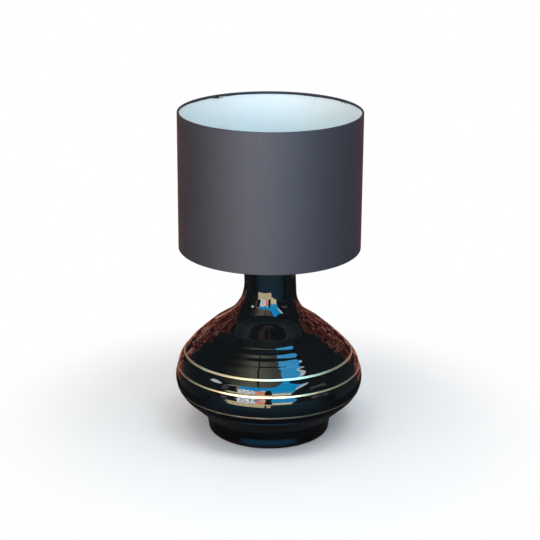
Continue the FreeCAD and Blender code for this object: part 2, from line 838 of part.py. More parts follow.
seam_outer = liner_inner - seam_clearance
seam_inner = seam_outer - seam_thickness
seam_sweep = math.degrees(seam_width / seam_outer)
seam_face = Part.Face(closed_outline([
    (seam_inner, bottom_level + bottom_hem_leg, 0),
    (seam_outer, bottom_level + bottom_hem_leg, 0),
    (seam_outer, top_level - top_hem_leg, 0),
    (seam_inner, top_level - top_hem_leg, 0),
]))
seam = seam_face.revolve(Vector(0, 0, 0), Vector(0, 0, 1), seam_sweep)
seam.rotate(Vector(0, 0, 0), Vector(0, 0, 1), seam_angle - seam_sweep / 2)
parts["shade_seam"] = seam

# Spider: hub ring, and arms that bite into its edge and end on the bottom wire
hub_bore = sleeve_radius + hub_clearance
hub = washer(hub_bore, hub_radius, hub_low, hub_top)
parts["shade_hub"] = hub
hub_middle = hub_low + hub_thickness / 2
arm_path = Part.Wire(open_outline([
    (point(hub_radius - arm_bite, hub_middle), 0),
    (point(hub_radius + arm_level_inside, hub_middle), arm_bend_radius),
    (point(bottom_wire_circle - arm_level_outside, bottom_level), arm_bend_radius),
    (point(bottom_wire_circle, bottom_level), 0),
]))
arm_section = Part.Wire(Part.makeCircle(
    arm_radius, point(hub_radius - arm_bite, hub_middle), Vector(1, 0, 0)))
arm_bar = arm_path.makePipeShell([arm_section], True, True)
arm_bar = arm_bar.cut([hub, bottom_wire])

# The bottom hem is slit where each arm comes in under it
slit_half_width = arm_radius + arm_slit_clearance
slit_reach = 2 * roll_radius(bottom_wire_radius)
slit_height = slit_half_width + 2 * bottom_hem_leg
slit = Part.makeBox(slit_reach, 2 * slit_half_width, slit_height)
slit_corner = Vector(
    bottom_wire_circle - slit_reach, -slit_half_width, bottom_level - slit_half_width)
slit.translate(slit_corner)
bottom_hem = hem(shade_low, 1, bottom_wire_radius, bottom_hem_leg)
for index in range(arm_count):
    angle = first_arm_angle + 360 * index / arm_count
    arm = arm_bar.copy()
    arm.rotate(Vector(0, 0, 0), Vector(0, 0, 1), angle)
    parts["shade_arm_%d" % (index + 1)] = arm
    arm_slit = slit.copy()
    arm_slit.rotate(Vector(0, 0, 0), Vector(0, 0, 1), angle)
    bottom_hem = bottom_hem.cut(arm_slit)
parts["bottom_hem"] = bottom_hem

os.makedirs("parts", exist_ok=True)
for name, shape in parts.items():
    shape.exportStep("parts/%s.step" % name)
    print("%-20s %2d solids  %12.1f mm3  valid %s" % (
        name, len(shape.Solids), shape.Volume, shape.isValid()))
print("levels: lip %.2f, cup %.2f, block %.2f, sleeve top %.2f, hub %.2f, globe %.2f" % (
    lip_level, cup_low, cup_top, sleeve_top, hub_low, globe_top))
print("shade from %.2f to %.2f" % (shade_low, shade_top))
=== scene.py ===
# %% [markdown]
# # A ceramic table lamp, dressed for its picture
#
# The solid model gives this lamp its size and its joints. This lesson gives it the surfaces
# that a potter, a shade maker and an electrician leave behind: a black glaze like a mirror,
# gold lines drawn with a brush, a drum of dark cloth over a pale lining, and the small screwed
# and moulded pieces that hold them together.
#
# Everything is in metres, +Z is up and the front looks along -Y.

# %% Load the solid model
import json
import math

import bmesh
import bpy
import mathutils
from mathutils import Matrix, Vector


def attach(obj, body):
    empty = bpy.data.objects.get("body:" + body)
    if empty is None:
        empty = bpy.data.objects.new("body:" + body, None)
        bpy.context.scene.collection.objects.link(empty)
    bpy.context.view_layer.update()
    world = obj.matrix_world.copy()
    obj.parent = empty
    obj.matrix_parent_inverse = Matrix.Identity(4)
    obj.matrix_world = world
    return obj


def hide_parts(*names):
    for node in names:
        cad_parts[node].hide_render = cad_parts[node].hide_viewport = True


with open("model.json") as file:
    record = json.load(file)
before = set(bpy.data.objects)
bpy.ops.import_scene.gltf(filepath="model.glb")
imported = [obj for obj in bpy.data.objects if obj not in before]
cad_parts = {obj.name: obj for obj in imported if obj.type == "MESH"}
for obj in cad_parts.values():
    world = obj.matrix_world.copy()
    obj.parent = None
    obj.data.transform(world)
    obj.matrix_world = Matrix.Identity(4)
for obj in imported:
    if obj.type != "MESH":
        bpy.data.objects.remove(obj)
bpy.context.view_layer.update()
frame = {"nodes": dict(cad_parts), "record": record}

# %% [markdown]
# ## Small helpers for node materials
#
# A material here is a Principled shader with a few textures in front of it. These helpers add
# a node, wire it up and set its values in one line, so that a finish reads as a short recipe.
# All patterns use Object coordinates, which are metres on this model, or a piece's own UV map,
# which is laid out in metres as well. A scale of 1000 is then one repeat per millimetre.
# A Mix node has sockets for numbers and vectors too, so its colours are found by their place.

# %% Material helpers
MIX_SOCKETS = (0, 6, 7)
MIX_RESULT = 2


def fill(tree, socket, value):
    """Wires another node's output to a socket, or gives the socket a value of its own."""
    if isinstance(value, bpy.types.NodeSocket):
        tree.links.new(value, socket)
    else:
        socket.default_value = value


def node(tree, kind, **settings):
    """Adds one node. Settings name its properties or its inputs."""
    made = tree.nodes.new(kind)
    for key, value in settings.items():
        if key in made.bl_rna.properties and not made.bl_rna.properties[key].is_readonly:
            setattr(made, key, value)
        else:
            fill(tree, made.inputs[key.replace("_", " ")], value)
    return made


def finish_material(name, **principled):
    """A material with one Principled shader, and the tree to add textures to."""
    material = bpy.data.materials.new(name)
    material.use_nodes = True
    tree = material.node_tree
    shader = tree.nodes["Principled BSDF"]
    for socket, value in principled.items():
        shader.inputs[socket.replace("_", " ")].default_value = value
    return material, tree, shader


def place(tree):
    """Object coordinates, in metres."""
    return tree.nodes.new("ShaderNodeTexCoord").outputs["Object"]


def cloth_place(tree):
    """The piece's own UV map: metres round the piece and metres up it."""
    return tree.nodes.new("ShaderNodeUVMap").outputs["UV"]


def noise(tree, where, scale, detail=3.0, roughness=0.5, stretch=None):
    """A cloudy pattern from 0 to 1. Stretch draws it out along an axis."""
    if stretch:
        where = node(tree, "ShaderNodeMapping", Vector=where, Scale=stretch).outputs["Vector"]
    made = node(tree, "ShaderNodeTexNoise", Vector=where, Scale=scale, Detail=detail,
                Roughness=roughness)
    return made.outputs["Fac"]


def ramp(tree, amount, *stops):
    """A colour ramp over an amount; each stop is a position and a colour."""
    made = node(tree, "ShaderNodeValToRGB", Fac=amount)
    elements = made.color_ramp.elements
    while len(elements) < len(stops):
        elements.new(0.5)
    for element, (position, colour) in zip(elements, stops):
        element.position = position
        element.color = (*colour, 1.0)
    return made.outputs["Color"]


def between(tree, amount, low, high):
    """Maps an amount from 0 to 1 onto a range of numbers."""
    made = node(tree, "ShaderNodeMapRange", Value=amount)
    made.inputs["To Min"].default_value = low
    made.inputs["To Max"].default_value = high
    return made.outputs["Result"]


def share_of(tree, amount, start, end, **settings):
    """How far an amount has come from a start to an end, from 0 to 1."""
    made = node(tree, "ShaderNodeMapRange", Value=amount, **settings)
    fill(tree, made.inputs["From Min"], start)
    fill(tree, made.inputs["From Max"], end)
    return made.outputs["Result"]


def sums(tree, operation, first, second):
    """One step of arithmetic on two amounts."""
    made = node(tree, "ShaderNodeMath", operation=operation)
    for socket, value in zip(made.inputs, (first, second)):
        fill(tree, socket, value)
    return made.outputs[0]


def mix_colours(tree, amount, first, second, **settings):
    """One colour at 0 and another at 1; each may come from another node."""
    made = node(tree, "ShaderNodeMix", data_type="RGBA", **settings)
    for index, value in zip(MIX_SOCKETS, (amount, first, second)):
        fill(tree, made.inputs[index], value)
    return made.outputs[MIX_RESULT]


def mix_shaders(tree, amount, first, second):
    """One shader at 0 and another at 1."""
    made = tree.nodes.new("ShaderNodeMixShader")
    for socket, value in zip(made.inputs, (amount, first, second)):
        fill(tree, socket, value)
    return made.outputs[0]


def bump(tree, height, depth, strength=1.0, under=None):
    """Raised detail of a real depth in metres, on top of another bump if one is given."""
    made = node(tree, "ShaderNodeBump", Height=height, Distance=depth, Strength=strength)
    if under is not None:
        tree.links.new(under, made.inputs["Normal"])
    return made.outputs["Normal"]


# %% [markdown]
# ## The glaze
#
# The body wears a thick black glaze, fired to a mirror. Three things keep it from looking like
# black plastic: the melt is a little uneven, so reflections ripple very softly; it is not quite
# black, but a deep blue-green where it lies thick and a dark brown where it runs thin over the
# foot and the lip; and a few pinholes are left where gas came out of the clay.

# %% The black glaze
def glaze_material():
    """Black mirror glaze, thin and brown at the foot and the lip."""
    material, tree, shader = finish_material("black_glaze", IOR=1.42, Roughness=0.03)
    where = place(tree)
    clouds = noise(tree, where, 14.0, 4.0, 0.6)
    thick = ramp(tree, clouds, (0.3, (0.0016, 0.0022, 0.0026)), (0.7, (0.0032, 0.0042, 0.0050)))
    height = node(tree, "ShaderNodeSeparateXYZ", Vector=where).outputs["Z"]
    wander = sums(tree, "MULTIPLY", noise(tree, where, 30.0), 0.012)
    level = sums(tree, "ADD", height, wander)
    thin = sums(tree, "MAXIMUM", share_of(tree, level, 0.016, 0.009),
                share_of(tree, level, 0.2885, 0.2925))
    tree.links.new(mix_colours(tree, thin, thick, (0.012, 0.0065, 0.0045, 1.0)),
                   shader.inputs["Base Color"])
    wipes = noise(tree, where, 55.0, 5.0, 0.65)
    tree.links.new(between(tree, wipes, 0.02, 0.055), shader.inputs["Roughness"])
    melt = noise(tree, where, 22.0, 2.0, 0.4)
    soft = bump(tree, melt, 0.00025, 0.35)
    pits = node(tree, "ShaderNodeTexVoronoi", Vector=where, Scale=160.0).outputs["Distance"]
    holes = share_of(tree, pits, 0.0, 0.05)
    tree.links.new(bump(tree, holes, 0.00005, 0.3, soft), shader.inputs["Normal"])
    return material


# %% [markdown]
# ## Gold lustre, metals and plated metals
#
# The lines are a metal lustre, brushed on a wheel and fired on last. It is thinner than paper,
# so it takes the gloss of the glaze, and where the brush ran dry the gold turns to copper.
# The hardware is plainer: zinc plate is cloudy, nickel is warm and bright, brass is stamped.
# One recipe with different numbers makes them all.

# %% Metals
def lustre_material(name, dry, even, full):
    """Brushed gold that goes from a dry colour over an even one to a full one."""
    material, tree, shader = finish_material(name, Metallic=1.0)
    where = place(tree)
    brush = noise(tree, where, 90.0, 5.0, 0.6, stretch=(1.0, 1.0, 16.0))
    patches = noise(tree, where, 26.0, 3.0, 0.5)
    amount = sums(tree, "ADD", sums(tree, "MULTIPLY", brush, 0.5),
                  sums(tree, "MULTIPLY", patches, 0.5))
    tree.links.new(ramp(tree, amount, (0.30, dry), (0.48, even), (0.70, full)),
                   shader.inputs["Base Color"])
    tree.links.new(between(tree, brush, 0.34, 0.50), shader.inputs["Roughness"])
    tree.links.new(bump(tree, brush, 0.00002, 0.5), shader.inputs["Normal"])
    return material


def metal_material(name, dark, light, smooth, dull, grain=(1.0, 1.0, 1.0), depth=0.00002):
    """Metal with a cloudy colour, uneven gloss and a fine grain that can run one way."""
    material, tree, shader = finish_material(name, Metallic=1.0)
    where = place(tree)
    clouds = noise(tree, where, 120.0, 4.0, 0.6)
    tree.links.new(ramp(tree, clouds, (0.3, dark), (0.7, light)), shader.inputs["Base Color"])
    lines = noise(tree, where, 900.0, 3.0, 0.6, stretch=grain)
    tree.links.new(between(tree, lines, smooth, dull), shader.inputs["Roughness"])
    tree.links.new(bump(tree, lines, depth, 0.4), shader.inputs["Normal"])
    return material


# %% [markdown]
# ## Moulded plastics, paint and fired insulators
#
# The lampholder is thermoset plastic with the fine grain of its mould, the spider is powder
# coated wire with a faint orange peel, and the block that carries the contacts is unglazed
# ceramic. They share a recipe: a slightly uneven colour, an uneven gloss and a shallow grain.

# %% Plastics, paint and insulators
def moulded_material(name, dark, light, smooth, dull, grain_size, depth, **principled):
    """A non-metal with cloudy colour, uneven gloss and a grain of a real size in metres."""
    material, tree, shader = finish_material(name, **principled)
    where = place(tree)
    clouds = noise(tree, where, 40.0, 4.0, 0.6)
    tree.links.new(ramp(tree, clouds, (0.3, dark), (0.7, light)), shader.inputs["Base Color"])
    grain = noise(tree, where, 1.0 / grain_size, 3.0, 0.6)
    tree.links.new(between(tree, grain, smooth, dull), shader.inputs["Roughness"])
    tree.links.new(bump(tree, grain, depth, 0.5), shader.inputs["Normal"])
    return material


# %% [markdown]
# ## Cloth for the shade
#
# The drum is covered with a fine plain weave of charcoal yarn, about two threads to the
# millimetre. Warp and weft are two sine waves on the piece's UV map, a thread being high where
# it crosses over the other. Thicker and thinner yarns are noise drawn out along each thread,
# and they tint the colour too, so the cloth has the dry, slightly speckled look of cotton.

# %% Shade cloth
THREAD_PITCH = 0.00052


def cloth_material(name, dark, light, warm):
    """Plain weave of dark and light yarn, with broad patches that are a little warmer."""
    # Painted sheen: the blue tint of the gloss stands in for cool light on the cloth.
    material, tree, shader = finish_material(name, Roughness=0.52, IOR=1.5,
                                             Specular_IOR_Level=0.26,
                                             Specular_Tint=(0.62, 0.78, 1.0, 1.0))
    where = cloth_place(tree)
    split = node(tree, "ShaderNodeSeparateXYZ", Vector=where)
    turns = math.tau / THREAD_PITCH
    waves = []
    for axis in ("X", "Y"):
        phase = sums(tree, "MULTIPLY", split.outputs[axis], turns)
        waves.append(sums(tree, "SINE", phase, 0.0))
    over = sums(tree, "MULTIPLY", waves[0], waves[1])
    warp = noise(tree, where, 1.0, 2.0, 0.5, stretch=(1.0 / THREAD_PITCH, 40.0, 1.0))
    weft = noise(tree, where, 1.0, 2.0, 0.5, stretch=(40.0, 1.0 / THREAD_PITCH, 1.0))
    yarn = sums(tree, "MULTIPLY", sums(tree, "ADD", warp, weft), 0.5)
    broad = noise(tree, where, 9.0, 3.0, 0.5)
    speckle = noise(tree, where, 420.0, 2.0, 0.7)
    tone = sums(tree, "ADD", sums(tree, "MULTIPLY", yarn, 0.55),
                sums(tree, "MULTIPLY", speckle, 0.45))
    tone = sums(tree, "ADD", tone, sums(tree, "MULTIPLY", over, 0.05))
    colour = ramp(tree, tone, (0.34, dark), (0.66, light))
    tint = ramp(tree, broad, (0.3, warm), (0.7, (1.0, 1.0, 1.0)))
    tree.links.new(mix_colours(tree, 0.5, colour, tint, blend_type="MULTIPLY"),
                   shader.inputs["Base Color"])
    weave = bump(tree, over, 0.00006, 0.5)
    tree.links.new(bump(tree, yarn, 0.00005, 0.5, weave), shader.inputs["Normal"])
    return material


# %% [markdown]
# ## Lining, felt and rubber
#
# The lining is a smooth pale film, laminated to the cloth. Painted light makes it paler near the
# top, painted shade makes it darker low down, and it has a few rubbed spots. Felt is pressed
# wool:
# short fibres in every direction, so its colour and height come from two scales of noise and a
# strong sheen.

# %% Lining, felt and rubber
def lining_material():
    """Pale blue film, with painted light that makes it paler towards the top and painted shade
    that darkens it towards the bottom.
    """
    material, tree, shader = finish_material("pale_lining", Roughness=0.42,
                                             Specular_IOR_Level=0.4)
    where = place(tree)
    clouds = noise(tree, where, 7.0, 4.0, 0.55)
    tinted = ramp(tree, clouds, (0.3, (0.66, 0.865, 0.915)), (0.7, (0.72, 0.895, 0.935)))
    height = node(tree, "ShaderNodeSeparateXYZ", Vector=where).outputs["Z"]
    # Painted shade: below 0.47 m the film darkens towards the bottom of the drum.
    shaded_low_film = mix_colours(tree, share_of(tree, height, 0.38, 0.47), (0.38, 0.52, 0.57, 1.0),
                         tinted)
    # Painted light: above 0.43 m the film turns paler towards the top rim.
    film = mix_colours(tree, share_of(tree, height, 0.43, 0.545), shaded_low_film,
                       (0.88, 0.93, 0.93, 1.0))
    spots = node(tree, "ShaderNodeTexVoronoi", Vector=where, Scale=55.0).outputs["Distance"]
    tree.links.new(mix_colours(tree, share_of(tree, spots, 0.018, 0.03),
                               (0.62, 0.66, 0.64, 1.0), film), shader.inputs["Base Color"])
    grain = noise(tree, where, 600.0, 3.0, 0.6)
    tree.links.new(between(tree, grain, 0.36, 0.5), shader.inputs["Roughness"])
    tree.links.new(bump(tree, grain, 0.00003, 0.3), shader.inputs["Normal"])
    return material


def felt_material():
    """Dark pressed felt."""
    material, tree, shader = finish_material("pressed_felt", Roughness=0.95, Sheen_Weight=0.5,
                                             Sheen_Roughness=0.5, Specular_IOR_Level=0.1)
    where = place(tree)
    fibres = noise(tree, where, 1400.0, 4.0, 0.75)
    clumps = noise(tree, where, 220.0, 3.0, 0.6)
    both = sums(tree, "ADD", sums(tree, "MULTIPLY", fibres, 0.6),
                sums(tree, "MULTIPLY", clumps, 0.4))
    tree.links.new(ramp(tree, both, (0.35, (0.012, 0.013, 0.014)), (0.65, (0.05, 0.052, 0.055))),
                   shader.inputs["Base Color"])
    tree.links.new(bump(tree, both, 0.0003, 0.8), shader.inputs["Normal"])
    return material


# %% [markdown]
# Each finish is made once, with its colours from dark to light, and then every solid gets the
# one that its slot in the solid model asks for.

# %% Make every finish once
finishes = {
    "glaze": glaze_material(),
    "gold": lustre_material("gold_lustre", (0.60, 0.34, 0.17), (0.74, 0.54, 0.31),
                            (0.84, 0.70, 0.47)),
    "felt": felt_material(),
    "shade_fabric": cloth_material("charcoal_cloth", (0.025, 0.0200, 0.0216),
                                   (0.050, 0.0408, 0.0435), (0.86, 0.81, 0.80)),
    "shade_lining": lining_material(),
    "black_plastic": moulded_material("black_thermoset", (0.012, 0.012, 0.013),
                                      (0.022, 0.022, 0.024), 0.32, 0.5, 0.0005, 0.00003),
    "black_steel": moulded_material("black_paint", (0.010, 0.010, 0.011),
                                    (0.018, 0.018, 0.019), 0.28, 0.42, 0.0009, 0.00003),
    "rubber_part": moulded_material("soft_rubber", (0.016, 0.016, 0.016),
                                    (0.034, 0.033, 0.032), 0.7, 0.9, 0.0006, 0.00006),
    "block_insulator": moulded_material("fired_insulator", (0.70, 0.68, 0.62),
                                        (0.82, 0.80, 0.75), 0.55, 0.75, 0.0004, 0.00005),
    "bulb_black": moulded_material("black_insulator", (0.010, 0.010, 0.012),
                                   (0.020, 0.020, 0.022), 0.12, 0.25, 0.0008, 0.00002),
    "bulb_white": moulded_material("white_housing", (0.74, 0.74, 0.72),
                                   (0.82, 0.82, 0.80), 0.25, 0.38, 0.0006, 0.00002),
    "bulb_opal": moulded_material("opal_diffuser", (0.80, 0.80, 0.77), (0.86, 0.86, 0.83),
                                  0.3, 0.42, 0.0005, 0.00002,
                                  Subsurface_Weight=0.3, Subsurface_Scale=0.002),
    "white_wire": moulded_material("white_powder_coat", (0.72, 0.73, 0.71),
                                   (0.80, 0.80, 0.78), 0.3, 0.45, 0.0008, 0.00005),
    "chip_yellow": moulded_material("light_chip", (0.62, 0.46, 0.08),
                                    (0.78, 0.62, 0.14), 0.3, 0.45, 0.0002, 0.00001),
    "zinc_steel": metal_material("zinc_plate", (0.50, 0.51, 0.53), (0.70, 0.71, 0.72),
                                 0.24, 0.42),
    "brass_part": metal_material("stamped_brass", (0.62, 0.44, 0.18), (0.80, 0.62, 0.30),
                                 0.18, 0.36),
    "nickel_brass": metal_material("nickel_plate", (0.66, 0.64, 0.58), (0.80, 0.78, 0.73),
                                   0.14, 0.28),
    "board_aluminium": metal_material("board_metal", (0.70, 0.71, 0.72), (0.82, 0.83, 0.84),
                                      0.3, 0.5),
}
slot_of = {part["node"]: part["material_slot"] for part in frame["record"]["subparts"]}
for name, solid in frame["nodes"].items():
    solid.data.materials.clear()
    solid.data.materials.append(finishes[slot_of[name]])
print(len(finishes), "finishes on", len(slot_of), "solids")

# %% [markdown]
# ## Helpers for turned pieces
#
# Nearly everything on this lamp is turned: thrown on a wheel, spun or moulded round. So most
# new pieces start as a few vertices in the plane through the axis, get their corners rounded
# by a vertex bevel, and are then spun once round. Edges that stay sharp are marked, and the
# rest is shaded smooth, so that a mirror finish has no facets.

# %% Turning helpers
SHARP_ANGLE = math.radians(32)
FULL_TURN = math.tau


def outline(corners, closed=True):
    """A loop of edges through (radius, height, reach) corners, each rounded by its reach."""
    bm = bmesh.new()
    verts = [bm.verts.new((radius, 0.0, height)) for radius, height, *_ in corners]
    pairs = list(zip(verts, verts[1:]))
    if closed:
        pairs.append((verts[-1], verts[0]))
    for pair in pairs:
        bm.edges.new(pair)
    for vert, (_, _, *rounding) in zip(verts, corners):
        if rounding:
            reach, segments = rounding
            bmesh.ops.bevel(bm, geom=[vert], offset=reach, offset_type="OFFSET",
                            affect="VERTICES", segments=segments, profile=0.5, material=-1)
    return bm


def spun(bm, steps):
    """Spins an outline once round the lamp's axis and closes it."""
    bmesh.ops.spin(bm, geom=bm.verts[:] + bm.edges[:], cent=(0, 0, 0), axis=(0, 0, 1),
                   angle=FULL_TURN, steps=steps, use_merge=True)
    bmesh.ops.remove_doubles(bm, verts=bm.verts, dist=1e-6)
    return bm


def around(position):
    """Angle of a point about the lamp's axis, from +X."""
    return math.atan2(position.y, position.x)


def only(kind, geom):
    """The items of one kind in what an operator gives back."""
    return [item for item in geom if isinstance(item, kind)]


def lay_cloth(bm, radius):
    """A UV map in metres: round the piece and up it, with the wrap kept inside each face."""
    layer = bm.loops.layers.uv.new("cloth")
    for face in bm.faces:
        middle = around(face.calc_center_median())
        for loop in face.loops:
            turn = around(loop.vert.co) - middle
            turn = (turn + math.pi) % FULL_TURN - math.pi
            loop[layer].uv = ((middle + turn) * radius, loop.vert.co.z)


def new_object(name, bm, material=None):
    """Turns a bmesh into an object in the scene."""
    mesh = bpy.data.meshes.new(name)
    bm.to_mesh(mesh)
    bm.free()
    if material:
        mesh.materials.append(material)
    made = bpy.data.objects.new(name, mesh)
    bpy.context.scene.collection.objects.link(made)
    return made


def add_piece(name, bm, body, slot, replaced=()):
    """Turns a bmesh into a finished piece that rides on a body of the solid model."""
    bmesh.ops.recalc_face_normals(bm, faces=bm.faces)
    for edge in bm.edges:
        edge.smooth = edge.calc_face_angle(0.0) < SHARP_ANGLE
    for face in bm.faces:
        face.smooth = True
    piece = new_object(name, bm, finishes[slot])
    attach(piece, body)
    if replaced:
        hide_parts(*replaced)
    print("%-22s %6d faces on %s" % (name, len(piece.data.polygons), body))
    return piece


# %% [markdown]
# ## The thrown body
#
# The body is one turned shape: a low foot, a belly that turns over a tight radius, and a long
# shoulder that sweeps up to the neck. The shoulder is the hard part, because a mirror glaze
# shows every bump. A smooth spline through a few control points gives a clean sweep, as in
# the solid model. Then come the marks of the potter's fingers, added on purpose: rings on the
# shoulder and a shallow hollow where the middle gold line runs. Most rings are less than a
# millimetre high, yet they break a reflection into bands. The pot also settled in the kiln:
# its shoulder sits three millimetres to the left, its neck a little to the right.

# %% Sizes of the body
FELT = 0.0015
FOOT_RADIUS = 0.1014
FOOT_TOP_RADIUS = 0.1058
FOOT_TOP = 0.0282
BELLY_RADIUS = 0.1568
BELLY_CORNER = 0.075758
BELLY_REACH = 0.01824
BELLY_LEVEL = 0.0940
NECK_RADIUS = 0.0429
NECK_LEVEL = 0.2635
LIP_LEVEL = 0.2865
WALL = 0.006
RECESS_RADIUS = 0.0924
RECESS_LEVEL = 0.0195
FLOOR_LEVEL = 0.0275
FLOOR_RADIUS = 0.1010
ROD_HOLE = 0.0054
SHOULDER_SHARES = (0.988, 0.910, 0.779, 0.606, 0.413, 0.164, 0.054, 0.006)
THROWING_MARKS = (
    (0.1080, 0.00021, 0.0024), (0.1131, -0.00131, 0.0049), (0.1332, 0.00112, 0.0100),
    (0.1539, 0.00046, 0.0024), (0.1627, 0.00047, 0.0024), (0.1712, 0.00056, 0.0024),
    (0.1804, 0.00060, 0.0024), (0.1880, 0.00108, 0.0036), (0.1950, 0.00034, 0.0042),
    (0.2030, -0.00055, 0.0046), (0.2110, -0.00081, 0.0050), (0.2200, -0.00054, 0.0052),
    (0.2290, -0.00087, 0.0052), (0.2380, -0.00043, 0.0052),
)
LEANS = ((-0.0030, 0.1800, 0.0340), (0.0016, 0.2520, 0.0170))


def shoulder_points(neck, belly, steps):
    """Points of the shoulder spline, from the belly up to the neck."""
    spans = len(SHOULDER_SHARES) + 1
    levels = [0, 1 / (3 * spans)] + [step / spans for step in range(1, spans)]
    levels += [1 - 1 / (3 * spans), 1]
    shares = [1, 1, *SHOULDER_SHARES, 0, 0]
    curve = bpy.data.curves.new("shoulder_line", "CURVE")
    curve.dimensions = "3D"
    spline = curve.splines.new("NURBS")
    spline.points.add(len(shares) - 1)
    for pole, level, share in zip(spline.points, levels, shares):
        height = BELLY_LEVEL + level * (NECK_LEVEL - BELLY_LEVEL)
        pole.co = (neck + share * (belly - neck), 0, height, 1)
    spline.order_u = 4
    spline.use_endpoint_u = True
    spline.resolution_u = steps
    carrier = bpy.data.objects.new("shoulder_line", curve)
    mesh = bpy.data.meshes.new_from_object(carrier)
    points = [(vert.co.x, vert.co.z) for vert in mesh.vertices]
    bpy.data.objects.remove(carrier)
    bpy.data.curves.remove(curve)
    bpy.data.meshes.remove(mesh)
    return points


def hill(level, middle, width):
    """A soft bump of height 1 round a middle."""
    return math.exp(-0.5 * ((level - middle) / width) ** 2)


def thrown(radius, level):
    """Radius with the marks of throwing added to a smooth one."""
    return radius + sum(height * hill(level, middle, width)
                        for middle, height, width in THROWING_MARKS)


def warp(bm):
    """Leans the shoulder a little to one side, as a pot settles in the kiln."""
    for vert in bm.verts:
        vert.co.x += sum(shift * hill(vert.co.z, middle, width)
                         for shift, middle, width in LEANS)


# %% [markdown]
# The outline starts at the hole for the rod, goes out under the floor and round the foot, up
# the outside to the lip and down the inside again. A corner with two more numbers is rounded:
# they are its reach and its number of steps.

# %% The body's outline
outer_shoulder = [(thrown(radius, level), level)
                  for radius, level in shoulder_points(NECK_RADIUS, BELLY_RADIUS, 18)]
inner_shoulder = shoulder_points(NECK_RADIUS - WALL, BELLY_RADIUS - WALL, 4)
GROOVE_LEVEL = 0.2780
GROOVE_HALF = 0.0011
GROOVE_DEPTH = 0.00006
body_corners = [
    (ROD_HOLE, RECESS_LEVEL),
    (RECESS_RADIUS, RECESS_LEVEL, 0.003, 6),
    (RECESS_RADIUS, FELT, 0.001, 3),
    (FOOT_RADIUS, FELT, 0.0019, 6),
    (FOOT_TOP_RADIUS, FOOT_TOP, 0.0012, 6),
    (BELLY_RADIUS, BELLY_CORNER, BELLY_REACH, 40),
    *outer_shoulder,
    (NECK_RADIUS, GROOVE_LEVEL - GROOVE_HALF, 0.0004, 3),
    (NECK_RADIUS - GROOVE_DEPTH, GROOVE_LEVEL, 0.0008, 4),
    (NECK_RADIUS, GROOVE_LEVEL + GROOVE_HALF, 0.0004, 3),
    (NECK_RADIUS, LIP_LEVEL, 0.002, 8),
    (NECK_RADIUS - WALL, LIP_LEVEL, 0.002, 6),
    *reversed(inner_shoulder),
    (FLOOR_RADIUS, FLOOR_LEVEL, 0.006, 6),
    (ROD_HOLE, FLOOR_LEVEL),
]
body_outline = outline(body_corners)
print("body outline with", len(body_outline.verts), "points")

# %% [markdown]
# The gold lines have to lie on this surface exactly. Below the widest level it is an arc; above
# it, the points of the shoulder are kept, and a radius is read between two of them.

# %% Look up the glaze surface
BELLY_ROUNDING = 0.04195


def surface_radius(level):
    """Radius of the glaze at a height."""
    if level < BELLY_LEVEL:
        drop = BELLY_LEVEL - level
        return BELLY_RADIUS - BELLY_ROUNDING + math.sqrt(BELLY_ROUNDING ** 2 - drop ** 2)
    for (low_radius, low), (high_radius, high) in zip(outer_shoulder, outer_shoulder[1:]):
        if low <= level < high:
            share = (level - low) / (high - low)
            return low_radius + share * (high_radius - low_radius)
    raise ValueError("no surface at %.4f" % level)


# %% [markdown]
# The cord comes in through a hole at the back of the foot, with a wider seat for its grommet.
# A stepped drill is spun, laid down towards the back and cut out of the pot.

# %% Spin the body and bore the cord inlet
BODY_STEPS = 224
spun(body_outline, BODY_STEPS)
warp(body_outline)
body = add_piece("glazed_body", body_outline, "lamp_base", "glaze", ["ceramic_body"])

INLET_LEVEL = 0.0115
INLET_BORE = 0.0050
INLET_SEAT = 0.0078
INLET_START, SEAT_START, INLET_END = 0.0834, 0.10185, 0.1150
inlet_bm = outline([
    (0.0, INLET_START), (INLET_BORE, INLET_START), (INLET_BORE, SEAT_START),
    (INLET_SEAT, SEAT_START), (INLET_SEAT, INLET_END), (0.0, INLET_END),
], closed=False)
spun(inlet_bm, 48)
bmesh.ops.recalc_face_normals(inlet_bm, faces=inlet_bm.faces)
lay_down = Matrix.Translation((0, 0, INLET_LEVEL)) @ Matrix.Rotation(-math.pi / 2, 4, "X")
bmesh.ops.transform(inlet_bm, verts=inlet_bm.verts, matrix=lay_down)
drill = new_object("inlet_drill", inlet_bm)
cut = body.modifiers.new("inlet", "BOOLEAN")
cut.operation = "DIFFERENCE"
cut.solver = "EXACT"
cut.object = drill
bpy.context.view_layer.update()
bored = bpy.data.meshes.new_from_object(body.evaluated_get(
    bpy.context.evaluated_depsgraph_get()))
body.modifiers.clear()
body.data = bored
bpy.data.objects.remove(drill)
print("glazed body bored,", len(bored.polygons), "faces")

# %% [markdown]
# ## Gold lines
#
# A line is painted by holding a loaded brush still while the pot turns. So it is nearly even,
# but its edges wander by a tenth of a millimetre, each on its own, and there is a slight dab
# where the brush was set down and lifted. The lowest line is the one that hands rub when the
# lamp is picked up, so its gold is thin and browner. Here a thin ring of seven points across
# is spun, and then its edges are moved. Every point is put back on the glaze afterwards.

# %% Paint the gold lines
LINE_HALF = 0.0015
LINE_PROUD = 0.00006
LINE_STEPS = 256
DAB_WIDTH = math.radians(5)
DAB_HEIGHT = 0.0003


def wander(turn, seed):
    """How far a painted edge strays at an angle, in metres."""
    stray = 0.00007 * math.sin(3 * turn + seed) + 0.00004 * math.sin(8 * turn + 2.1 * seed)
    return stray + 0.000025 * math.sin(23 * turn + 0.7 * seed)


